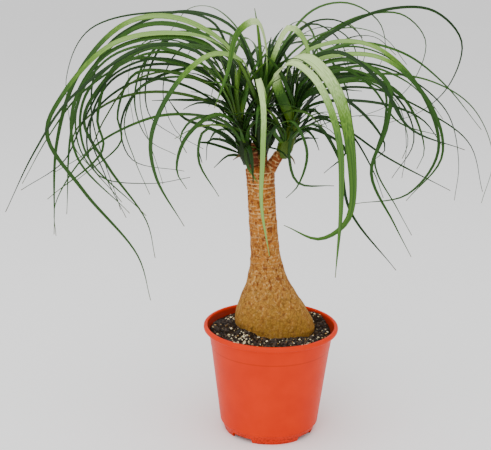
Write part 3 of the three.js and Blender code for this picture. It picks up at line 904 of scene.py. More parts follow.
# --------------------------------------------------------------------------- camera and studio
@dataclass
class Studio:
    """The camera, the soft lights and the floor.

    Args:
        eye: Where the camera stands, in millimetres.
        pitch: How far it looks down, in degrees.
        roll: How far it leans to its left, in degrees.
        focal_pixels: Focal length, in pixels of a picture of the next width.
        picture_width: The width of that picture in pixels.
        sensor: Width of the sensor in millimetres.
    """

    eye: Place = (-34.0, -1310.0, 627.0)
    pitch: float = 15.3
    roll: float = 0.9
    focal_pixels: float = 1100.0
    picture_width: float = 491.0
    sensor: float = 36.0

    def build(self) -> None:
        """Set up the camera, the lights, the sky and the floor."""
        self.add_camera()
        self.add_light("top_light", place=(-0.3, -0.5, 2.4), size=2.2, power=34.0)
        self.add_light("key_light", place=(-0.6, -2.1, 1.6), size=1.2, power=16.0)
        self.add_sky(strength=1.05)
        self.add_floor(side=12.0)

    def add_camera(self) -> None:
        """Stand the camera where the plant is seen from."""
        lens = bpy.data.cameras.new("camera")
        lens.sensor_width = self.sensor
        lens.lens = self.focal_pixels / self.picture_width * self.sensor
        lens.clip_start = 0.05
        lens.clip_end = 60.0
        camera = bpy.data.objects.new("camera", lens)
        turn = Matrix.Rotation(math.radians(90 - self.pitch), 4, "X")
        lean = Matrix.Rotation(math.radians(self.roll), 4, "Z")
        camera.matrix_world = Matrix.Translation(Vector(self.eye) * MM) @ turn @ lean
        bpy.context.scene.collection.objects.link(camera)
        bpy.context.scene.camera = camera

    @staticmethod
    def add_light(name: str, place: Place, size: float, power: float) -> None:
        """Hang a square softbox that faces the crown.

        Args:
            name: The light's name.
            place: Where it hangs, in metres.
            size: Its side in metres.
            power: Its power in watts.
        """
        light = bpy.data.lights.new(name, "AREA")
        light.size = size
        light.energy = power
        lamp = bpy.data.objects.new(name, light)
        lamp.location = place
        aim = Vector((0.0, 0.0, 0.3)) - Vector(place)
        lamp.rotation_euler = aim.to_track_quat("-Z", "Y").to_euler()
        bpy.context.scene.collection.objects.link(lamp)

    @staticmethod
    def add_sky(strength: float) -> None:
        """Fill the room with even white light.

        Args:
            strength: How bright it is.
        """
        world = bpy.data.worlds.new("studio_room")
        world.use_nodes = True
        back = world.node_tree.nodes["Background"]
        back.inputs["Color"].default_value = (1.0, 1.0, 1.0, 1.0)
        back.inputs["Strength"].default_value = strength
        bpy.context.scene.world = world

    @staticmethod
    def add_floor(side: float) -> None:
        """Lay white paper on the ground.

        Args:
            side: Length of its side in metres.
        """
        half = side / 2
        sheet = bpy.data.meshes.new("paper_floor")
        sheet.from_pydata([(-half, -half, 0), (half, -half, 0), (half, half, 0), (-half, half, 0)],
                          [], [(0, 1, 2, 3)])
        floor = mesh_object("paper_floor", sheet, smooth=False)
        sheet.materials.append(PAPER.material())


# --------------------------------------------------------------------------- pot
@dataclass
class NurseryPot:
    """A tapered, moulded pot with a rolled rim and a notched foot ring. Millimetres.

    Args:
        height: Height of the pot.
        rim_radius: Radius over the rolled rim.
        rim_height: Height of the rim.
        roll_radius: Radius its outer edges are rolled to.
        lip_radius: Radius its inner edge is rolled to.
        mouth_radius: Radius inside the rim.
        shoulder_radius: Outside of the wall just under the rim.
        step_level: Height of the faint step round the wall.
        ledge_radius: Radius of the ledge over the foot.
        foot_level: Height of the foot ring.
        foot_radius: Outside of the foot ring on the ground.
        foot_width: Width of the foot ring on the ground.
        wall: Thickness of the wall.
        notch: Width and height of a notch in the foot ring.
        notches: How many notches there are.
        notch_turn: Degrees from the front to the first notch.
        drain_radius: Radius of a drain hole.
        drain_circle: Radius of the circle the holes stand on.
        drains: How many holes there are.
        stain_and_shade_depth: How far below the rim the soiling and painted shade inside the wall are full.
        crisp: Faces that meet at a greater angle than this, in degrees, meet at a crisp edge.
        sides: Steps round the pot.
    """

    height: float = 140.0
    rim_radius: float = 85.0
    rim_height: float = 6.5
    roll_radius: float = 2.6
    lip_radius: float = 1.6
    mouth_radius: float = 80.0
    shoulder_radius: float = 78.5
    step_level: float = 113.0
    ledge_radius: float = 62.5
    foot_level: float = 12.0
    foot_radius: float = 57.0
    foot_width: float = 2.6
    wall: float = 1.6
    notch: Pair = (29.0, 6.0)
    notches: int = 4
    notch_turn: float = -37.0
    drain_radius: float = 4.0
    drain_circle: float = 38.0
    drains: int = 6
    stain_and_shade_depth: float = 3.0
    crisp: float = 38.0
    sides: int = 144

    def profile(self) -> list[Pair]:
        """Draw the closed section of the wall, from the axis outside to the axis inside.

        Returns:
            The radius and height of each point.
        """
        under_rim = self.height - self.rim_height
        throat = self.shoulder_radius - self.wall
        foot_inside = self.foot_radius - self.foot_width
        roll, lip = self.roll_radius, self.lip_radius
        taper = (self.shoulder_radius - self.ledge_radius) / (under_rim - self.foot_level)
        step_radius = self.ledge_radius + taper * (self.step_level - self.foot_level)
        return [
            (0.0, self.foot_level),
            (self.foot_radius + 0.8, self.foot_level),
            (foot_inside, 0.5), (foot_inside + 0.4, 0.0),
            (self.foot_radius - 0.4, 0.0), (self.foot_radius, 0.5),
            (self.foot_radius + 3.7, self.foot_level - 0.6),
            (self.foot_radius + 4.3, self.foot_level),
            *arc((self.ledge_radius - 0.7, self.foot_level + 1.1), 0.8, -80, 0, 3),
            (step_radius - 0.55, self.step_level - 0.3),
            (step_radius - 0.1, self.step_level + 0.5),
            (self.shoulder_radius - 0.2, under_rim - 1.2),
            *arc((self.shoulder_radius + 0.9, under_rim - 1.0), 1.0, 180, 90, 3),
            *arc((self.rim_radius - roll, under_rim + roll), roll, -80, 0, 5),
            *arc((self.rim_radius - roll, self.height - roll), roll, 0, 90, 5),
            *arc((self.mouth_radius + lip, self.height - lip), lip, 90, 180, 4),
            (self.mouth_radius - 0.4, self.height - 3.5),
            (throat, under_rim - 1.0),
            (self.ledge_radius - self.wall - 0.2, self.foot_level + self.wall + 2.0),
            (self.ledge_radius - self.wall - 2.4, self.foot_level + self.wall),
            (0.0, self.foot_level + self.wall),
        ]

    def cutters(self) -> bpy.types.Object:
        """Make the solids that the notches and drain holes are cut with.

        Returns:
            One object that holds them all.
        """
        across_ring, through_floor = 16.0, 8.0
        width, rise = self.notch
        work = bmesh.new()
        for index in range(self.notches):
            shape = bmesh.ops.create_cube(work, size=1.0)["verts"]
            bmesh.ops.scale(work, verts=shape, vec=(width * MM, across_ring * MM, 2 * rise * MM))
            bmesh.ops.translate(work, verts=shape, vec=(0, -self.foot_radius * MM, 0))
            angle = self.notch_turn + 360 / self.notches * index
            turn = Matrix.Rotation(math.radians(angle), 3, "Z")
            bmesh.ops.rotate(work, verts=shape, cent=(0, 0, 0), matrix=turn)
        for index in range(self.drains):
            angle = math.tau * index / self.drains
            spot = Matrix.Translation((self.drain_circle * MM * math.cos(angle),
                                       self.drain_circle * MM * math.sin(angle),
                                       (self.foot_level + 1) * MM))
            bmesh.ops.create_cone(work, cap_ends=True, segments=24, radius1=self.drain_radius * MM,
                                  radius2=self.drain_radius * MM, depth=through_floor * MM,
                                  matrix=spot)
        mesh = bpy.data.meshes.new("pot_cutters")
        work.to_mesh(mesh)
        work.free()
        return mesh_object("pot_cutters", mesh, smooth=False)

    def build(self) -> bpy.types.Object:
        """Make the pot and cut its notches and holes.

        Returns:
            The finished pot.
        """
        pot = mesh_object("nursery_pot", revolve(self.profile(), self.sides))
        cutters = self.cutters()
        cut = pot.modifiers.new("cut", "BOOLEAN")
        cut.operation = "DIFFERENCE"
        cut.solver = "EXACT"
        cut.object = cutters
        settle(pot)
        bpy.data.objects.remove(cutters)
        self.mark_inside(pot.data)
        pot.data.set_sharp_from_angle(angle=math.radians(self.crisp))
        return dress(pot, POT_PLASTIC, "pot")

    def mark_inside(self, mesh: bpy.types.Mesh) -> None:
        """Store how far a point lies inside the mouth, where the potting mix soils it and shade is painted
        under the rim.

        Args:
            mesh: The pot's mesh.
        """
        x, y, z = places_of(mesh)
        radius = np.hypot(x, y)
        throat = self.height - 7.5
        slope = (self.shoulder_radius - self.ledge_radius) / (throat - self.foot_level)
        skin = self.ledge_radius + slope * (z - self.foot_level) - self.wall / 2
        skin = np.where(z > throat + 0.5, self.mouth_radius + 0.5, skin)
        inside = (radius < skin) & (z > self.foot_level + 0.5)
        store(mesh, "inside", np.clip(inside * (self.height - 1.0 - z) / self.stain_and_shade_depth, 0, 1))


# --------------------------------------------------------------------------- potting mix
@dataclass
class PottingMix:
    """The potting mix that fills the pot, and the loose bits on top of it. Millimetres.

    Args:
        level: Mean height of the surface.
        floor: Height of its underside.
        floor_radius: Radius at the underside.
        throat: Height and radius of the wall's inside at the throat.
        heaps: Heaps and hollows, each its x, y, height and spread.
        rake: Height of the small waves left by raking it.
        wall_gap: Gap between it and the wall.
        crumb_height: Height of its crumbs.
        lump_height: Height of its lumps.
        stem_gap: Gap between the stem and the loose bits.
        bright_spot: Where the perlite lies thickest.
        bright_spread: How far that reaches.
        sides: Steps round the surface.
        rows: Steps from the wall to the middle.
        seed: Seed of the scattering.
    """

    level: float = 130.0
    floor: float = 13.9
    floor_radius: float = 60.2
    throat: Pair = (133.5, 76.9)
    heaps: tuple[tuple[float, float, float, float], ...] = (
        (-50, 6, 8, 17), (60, 46, 9, 24), (58, -2, -4, 20), (-30, -48, -2, 18), (20, -52, 1.5, 16),
        (-31, -21, 7, 10))
    rake: float = 0.6
    wall_gap: float = 0.5
    crumb_height: float = 1.1
    lump_height: float = 1.4
    stem_gap: float = 1.5
    bright_spot: Pair = (-38.0, -38.0)
    bright_spread: float = 9.0
    sides: int = 200
    rows: int = 76
    seed: int = 20417

    def surface(self, x: float, y: float) -> float:
        """Find the height of the raked surface at a place.

        Args:
            x: How far right the place is.
            y: How far back it is.

        Returns:
            The height.
        """
        heaped = sum(h * math.exp(-((x - hx) ** 2 + (y - hy) ** 2) / (2 * s * s))
                     for hx, hy, h, s in self.heaps)
        return self.level + self.rake * math.sin(x / 7) * math.cos(y / 6) + heaped

    def wall_radius(self, z: float) -> float:
        """Return the radius of the pot's inside at a height, less a small gap."""
        share = min(1.0, (z - self.floor) / (self.throat[0] - self.floor))
        return self.floor_radius + (self.throat[1] - self.floor_radius) * share - self.wall_gap

    def build(self) -> list[bpy.types.Object]:
        """Make the surface and scatter the bits over it.

        Returns:
            The mix and the pieces on it.
        """
        ground = self.build_ground()
        bits = [
            self.scatter(ground, "wet_bark_chips", DARK_CHIP, density=0.078, sizes=(0.9, 2.6), salt=3),
            self.scatter(ground, "dry_bark_chips", TAN_CHIP, density=0.011, sizes=(0.6, 1.7), salt=5),
            self.scatter(ground, "perlite", PERLITE, density=0.0135, sizes=(0.8, 2.0), salt=7),
        ]
        return [ground, *bits]

    def build_ground(self) -> bpy.types.Object:
        """Make the crumbly body of the mix.

        Returns:
            The body, marked where loose bits may lie on it.
        """
        wall_rings, topmost = 4, self.level - 14
        rings = []
        for step in range(wall_rings):
            z = self.floor + (topmost - self.floor) * step / (wall_rings - 1)
            rings.append([(self.wall_radius(z), z)] * self.sides)
        for row in range(self.rows):
            share = 1 - row / self.rows
            ring = []
            for side in range(self.sides):
                angle = math.tau * side / self.sides
                x = self.throat[1] * share * math.cos(angle)
                y = self.throat[1] * share * math.sin(angle)
                crumb = noise.fractal(Vector((x, y, 3.0)) / 5.0, 0.9, 2.1, 4)
                lump = noise.noise(Vector((x, y, 9.0)) / 13.0)
                z = self.surface(x, y) + self.crumb_height * crumb + self.lump_height * lump
                ring.append((self.wall_radius(z) * share, z))
            rings.append(ring)
        mesh = stacked_rings("potting_mix", [
            [(r * math.cos(math.tau * i / self.sides), r * math.sin(math.tau * i / self.sides), z)
             for i, (r, z) in enumerate(ring)] for ring in rings])
        ground = mesh_object("potting_mix", mesh)
        self.mark_open(mesh)
        return dress(ground, PEAT, "soil")

    def mark_open(self, mesh: bpy.types.Mesh) -> None:
        """Store where bits may lie, away from the stem and the wall, and where perlite is thick.

        Args:
            mesh: The mesh of the mix.
        """
        x, y, z = places_of(mesh)
        trunk = Trunk()
        cx, cy = trunk.base_centre
        depth_radius = trunk.base_radius * (1 - trunk.flattening)
        reach = np.hypot((x - cx) / (trunk.base_radius + self.stem_gap),
                         (y - cy) / (depth_radius + self.stem_gap))
        free = (reach > 1) & (np.hypot(x, y) < self.throat[1] - 2.0) & (z > self.level - 12)
        away = np.hypot(x - self.bright_spot[0], y - self.bright_spot[1])
        store(mesh, "open", free.astype(np.float32))
        store(mesh, "thick", free * (1 + 7 * np.exp(-((away / self.bright_spread) ** 2))))

    def scatter(self, ground: bpy.types.Object, name: str, finish: Finish, density: float,
                sizes: Pair, salt: int) -> bpy.types.Object:
        """Scatter small lumps over the open ground by Geometry Nodes.

        Args:
            ground: The piece they lie on.
            name: The new piece's name.
            finish: What they are made of.
            density: How many there are on a square millimetre.
            sizes: Smallest and largest radius.
            salt: Added to the seed.

        Returns:
            The scattered piece.
        """
        bits = mesh_object(name, ground.data.copy())
        modifier = bits.modifiers.new("scatter", "NODES")
        modifier.node_group = crumb_scatter(finish.material())
        set_input(modifier, "Density", density / MM ** 2)
        set_input(modifier, "Smallest", sizes[0] * MM)
        set_input(modifier, "Largest", sizes[1] * MM)
        set_input(modifier, "Mask", "thick" if finish is PERLITE else "open")
        set_input(modifier, "Seed", self.seed + salt)
        settle(bits)
        face_outwards(bits.data)
        return dress(bits, finish)


def crumb_scatter(material: bpy.types.Material) -> bpy.types.NodeTree:
    """Build the tree that strews small, dented lumps over a surface.

    Args:
        material: What the lumps are made of.

    Returns:
        The tree, with its inputs Density, Smallest, Largest, Mask and Seed.
    """
    tree = bpy.data.node_groups.new("crumb_scatter", "GeometryNodeTree")
    for name, kind in (("Geometry", "NodeSocketGeometry"), ("Density", "NodeSocketFloat"),
                       ("Smallest", "NodeSocketFloat"), ("Largest", "NodeSocketFloat"),
                       ("Mask", "NodeSocketString"), ("Seed", "NodeSocketInt")):
        tree.interface.new_socket(name, in_out="INPUT", socket_type=kind)
    tree.interface.new_socket("Geometry", in_out="OUTPUT", socket_type="NodeSocketGeometry")
    given = add_node(tree, "NodeGroupInput").outputs
    mask = add_node(tree, "GeometryNodeInputNamedAttribute", {"Name": given["Mask"]})
    density = add_node(tree, "ShaderNodeMath",
                       {0: mask.outputs["Attribute"], 1: given["Density"]}, operation="MULTIPLY")
    spots = add_node(tree, "GeometryNodeDistributePointsOnFaces", {
        "Mesh": given["Geometry"], "Density": density.outputs[0], "Seed": given["Seed"]})
    ball = add_node(tree, "GeometryNodeMeshIcoSphere", {"Radius": 1.0, "Subdivisions": 2})
    size = add_node(tree, "FunctionNodeRandomValue", {
        DRAW_LOW: given["Smallest"], DRAW_HIGH: given["Largest"], "Seed": given["Seed"]},
        data_type="FLOAT")
    shape = add_node(tree, "FunctionNodeRandomValue", {
        0: (0.55, 0.55, 0.45), 1: (1.25, 1.0, 0.8), "Seed": 11}, data_type="FLOAT_VECTOR")
    scale = add_node(tree, "ShaderNodeVectorMath", {
        0: shape.outputs[0], "Scale": size.outputs[DRAWN]}, operation="SCALE")
    turn = add_node(tree, "FunctionNodeRandomValue", {
        0: (-0.7, -0.7, 0.0), 1: (0.7, 0.7, math.tau), "Seed": 13}, data_type="FLOAT_VECTOR")
    placed = add_node(tree, "GeometryNodeInstanceOnPoints", {
        "Points": spots.outputs["Points"], "Instance": ball.outputs["Mesh"],
        "Rotation": turn.outputs[0], "Scale": scale.outputs[0]})
    tone = add_node(tree, "FunctionNodeRandomValue", {DRAW_LOW: 0.0, DRAW_HIGH: 1.0, "Seed": 17},
                    data_type="FLOAT")
    toned = add_node(tree, "GeometryNodeStoreNamedAttribute", {
        "Geometry": placed.outputs["Instances"], "Name": "bit_tone", "Value": tone.outputs[DRAWN]},
        data_type="FLOAT", domain="INSTANCE")
    solid = add_node(tree, "GeometryNodeRealizeInstances", {"Geometry": toned.outputs["Geometry"]})
    place = add_node(tree, "GeometryNodeInputPosition")
    dents = add_node(tree, "ShaderNodeTexNoise", {
        "Vector": place.outputs["Position"], "Scale": 1 / (1.7 * MM), "Detail": 2.0})
    centred = add_node(tree, "ShaderNodeVectorMath", {
        0: dents.outputs["Color"], 1: (0.5, 0.5, 0.5)}, operation="SUBTRACT")
    shift = add_node(tree, "ShaderNodeVectorMath", {
        0: centred.outputs[0], "Scale": 1.5 * MM}, operation="SCALE")
    dented = add_node(tree, "GeometryNodeSetPosition", {
        "Geometry": solid.outputs["Geometry"], "Offset": shift.outputs[0]})
    finished = add_node(tree, "GeometryNodeSetMaterial", {
        "Geometry": dented.outputs["Geometry"], "Material": material})
    add_node(tree, "NodeGroupOutput", {"Geometry": finished.outputs["Geometry"]})
    return tree


# --------------------------------------------------------------------------- stem
@dataclass
class Trunk:
    """The swollen, leaning stem and the short forks that carry the green shoots. Millimetres.

    Args:
        base_level: Height of the widest place.
        base_radius: Radius there.
        base_depth: How deep the swelling is buried.
        flattening: How much thinner the base is from front to back.
        flare: Height over which the swelling dies away.
        stem_radius: Radius of the stem above it.
        stem_top: Where the stem forks.
        base_centre: Axis of the base.
        stem_centre: Axis at the top.
        lean_power: How the lean is spread over the height.
        scar_spacing: Mean distance between leaf scars.
        scars_from: Height where the scars start to show.
        scars_grow: Height over which they grow bold.
        lobing: How far the base bulges into three lobes, as a share of its radius.
        buried_rings: How many rings the buried part has.
        forks: The forks, each its foot, tip, radius and how young its bark is.
        sides: Steps round the stem.
        row_height: Distance between its rings.
    """

    base_level: float = 134.0
    base_radius: float = 50.0
    base_depth: float = 42.0
    flattening: float = 0.22
    flare: float = 54.0
    stem_radius: float = 17.4
    stem_top: float = 338.0
    base_centre: Pair = (5.5, 12.0)
    stem_centre: Pair = (-17.5, 3.0)
    lean_power: float = 0.65
    scar_spacing: float = 4.6
    scars_from: float = 172.0
    scars_grow: float = 150.0
    lobing: float = 0.025
    buried_rings: int = 14
    forks: tuple[tuple[Place, Place, float, float], ...] = (
        ((-24, 2, 328), (-28, 2, 372), 8.5, 0.75),
        ((-16, 5, 328), (-15, 6, 364), 8.5, 0.3),
        ((-12, 3, 328), (9, 4, 363), 8.5, 0.1))
    sides: int = 210
    row_height: float = 0.85

    def swelling(self, z: float) -> float:
        """Return how much of the swelling is left at a height, from 1 down to 0."""
        return math.exp(-(((max(z, self.base_level) - self.base_level) / self.flare) ** 2))

    def centre(self, z: float) -> Pair:
        """Find where the leaning axis is at a height.

        Args:
            z: The height.

        Returns:
            Its x and y.
        """
        share = held((z - self.base_level) / (self.stem_top - self.base_level))
        bent = share ** self.lean_power
        return (self.base_centre[0] + (self.stem_centre[0] - self.base_centre[0]) * bent,
                self.base_centre[1] + (self.stem_centre[1] - self.base_centre[1]) * share)

    def girth(self, z: float) -> float:
        """Find the plain radius at a height, buried rings included.

        Args:
            z: The height.

        Returns:
            The radius.
        """
        if z >= self.base_level:
            return self.stem_radius + (self.base_radius - self.stem_radius) * self.swelling(z)
        sunk = (self.base_level - z) / self.base_depth
        return self.base_radius * math.sqrt(max(BLUNT_END, 1 - sunk * sunk))

    def relief(self, angle: float, z: float, radius: float) -> tuple[float, float, float]:
        """Shape the bark at a place on the stem.

        Args:
            angle: How far round the stem the place is, in radians.
            z: Its height.
            radius: The plain radius there.

        Returns:
            The height of the bark, the cream of a scar's lip, and the dark of a crack together with painted
            shade under each scar's ridge.
        """
        around = Vector((math.cos(angle), math.sin(angle), 0.0)) * radius
        spot = around + Vector((0.0, 0.0, z))
        ringed = held((z - self.scars_from) / self.scars_grow)
        warp = noise.noise(spot / 16.0) * 3.4 + noise.noise(spot / 5.0) * 0.7
        ring, turn = divmod((z + warp) / self.scar_spacing, 1.0)
        bold = 0.5 + 1.1 * noise.noise(Vector((ring * 5.37, 0.5, 0.5)))
        strength = held(bold + 1.5 * noise.noise(Vector((spot.x, spot.y, 2.4 * z)) / 8.0))
        lip = math.exp(-(((turn - 0.18) / 0.12) ** 2)) * strength * ringed
        undercut = math.exp(-(((turn - 0.95) / 0.1) ** 2)) * ringed
        lump = noise.noise(spot / 14.0) * 1.1 + noise.noise(spot / 4.5) * 0.3
        wide = Vector((spot.x, spot.y, spot.z * 0.8)) / (3.6 + 1.6 * (1 - ringed))
        near, second = noise.voronoi(wide)[0][:2]
        furrow = max(0.0, 1 - (second - near) / 0.16)
        crack = furrow * (0.75 * (1 - ringed) + 0.12) * (0.6 + 0.6 * noise.noise(spot / 9.0))
        height = lump + 0.55 * lip - 0.5 * undercut - 0.45 * crack
        # painted shade: the dip under each scar's ridge is darkened as well as sunk
        return height, held(0.8 * lip), held(crack + 0.45 * undercut)

    def build(self) -> bpy.types.Object:
        """Make the bark of the stem and of its forks.

        Returns:
            The bark, in one piece.
        """
        buried = self.buried_rings
        levels = [self.base_level - self.base_depth * (1 - math.sin(math.pi / 2 * i / buried))
                  for i in range(buried)]
        z = self.base_level
        while z < self.stem_top:
            levels.append(z)
            z += self.row_height
        parts = [self.limb(levels)]
        parts += [self.fork(*fork) for fork in self.forks]
        bark = mesh_object("cork_bark", merged("cork_bark", parts))
        return dress(bark, BARK, "trunk")

    def limb(self, levels: Sequence[float]) -> bpy.types.Mesh:
        """Make the stem itself.

        Args:
            levels: Heights of its rings.

        Returns:
            A closed mesh with the attributes lip, crack and young.
        """
        rings, lips, cracks = [], [], []
        cap = 6
        for z in [*levels, self.stem_top, self.stem_top + cap]:
            cx, cy = self.centre(z)
            swelling = self.swelling(z)
            plain = self.girth(z) if z <= self.stem_top else self.stem_radius - cap
            for side in range(self.sides):
                angle = math.tau * side / self.sides
                height, lip, crack = self.relief(angle, z, plain)
                lobe = 1 + self.lobing * swelling * math.cos(3 * angle + 0.6)
                r = plain * lobe + height
                rings.append((cx + r * math.cos(angle),
                              cy + r * (1 - self.flattening * swelling) * math.sin(angle), z))
                lips.append(lip)
                cracks.append(crack)
        rows = [rings[i : i + self.sides] for i in range(0, len(rings), self.sides)]
        mesh = stacked_rings("stem", rows)
        return marked(mesh, lip=[*lips, 0, 0], crack=[*cracks, 0, 0], young=[0] * len(mesh.vertices))

    def fork(self, foot: Place, tip: Place, radius: float, young: float) -> bpy.types.Mesh:
        """Make one fork, a short tapering limb.

        Args:
            foot: Where it starts inside the stem.
            tip: Where it ends inside the shoot.
            radius: Its radius at the foot.
            young: How red its young bark is.

        Returns:
            A closed mesh with the same attributes as the stem.
        """
        start, end = Vector(foot), Vector(tip)
        turn = (end - start).to_track_quat("Z", "Y").to_matrix()
        length = (end - start).length
        rows, lips, cracks = [], [], []
        steps, sides, taper, bark_level = 48, 72, 0.25, 300
        for step in range(steps + 1):
            share = step / steps
            plain = radius * (1 - taper * share) * math.sqrt(max(BLUNT_END, min(1.0, (1 - share) * 6)))
            row = []
            for side in range(sides):
                angle = math.tau * side / sides
                height, lip, crack = self.relief(angle, bark_level + share * length, radius)
                spot = Vector((math.cos(angle), math.sin(angle), 0)) * (plain + 0.8 * height)
                row.append(tuple(start + turn @ (spot + Vector((0, 0, share * length)))))
                lips.append(lip * (1 - 0.8 * young))
                cracks.append(crack)
            rows.append(row)
        mesh = stacked_rings("fork", rows)
        return marked(mesh, lip=[*lips, 0, 0], crack=[*cracks, 0, 0],
                      young=[young] * len(mesh.vertices))


# --------------------------------------------------------------------------- leaf crown
class Shoot(Enum):
    """The green shoot a leaf is rooted on."""

    LEFT = "left"
    MIDDLE = "middle"
    RIGHT = "right"


class Tone(Enum):
    """How a leaf is coloured: dark to pale on its arch, where pale is painted sheen; the same once it
    hangs, in painted shade; and how dried it is.
    """

    DARK = (0.08, 0.05, 0.0)
    MID = (0.3, 0.2, 0.0)
    FRESH = (0.5, 0.4, 0.05)
    LIGHT = (0.62, 0.2, 0.0)
    PALE = (0.86, 0.34, 0.0)
    # painted sheen: pale on its arch and still light once it hangs
    BLOOM = (0.85, 0.6, 0.0)
    OLIVE = (0.3, 0.2, 0.06)
    OLD = (0.30, 0.3, 0.8)


@dataclass(frozen=True)
class LeafRoute:
    """One leaf: where it grows, how it is shaped, and the places its midrib passes through.

    Args:
        shoot: The shoot that carries it.
        width: Its width in millimetres.
        roll: Degrees it rolls over towards its tip.
        tone: Its colour.
        places: Points of the midrib, in millimetres.
    """

    shoot: Shoot
    width: float
    roll: float
    tone: Tone
    places: tuple[Place, ...]


L, M, R = Shoot
DARK, MID, FRESH, LIGHT, PALE, BLOOM, OLIVE, OLD = Tone


def leaf(shoot: Shoot, width: float, roll: float, tone: Tone, *places: Place) -> LeafRoute:
    """Write one row of the leaf table."""
    return LeafRoute(shoot, width, roll, tone, places)


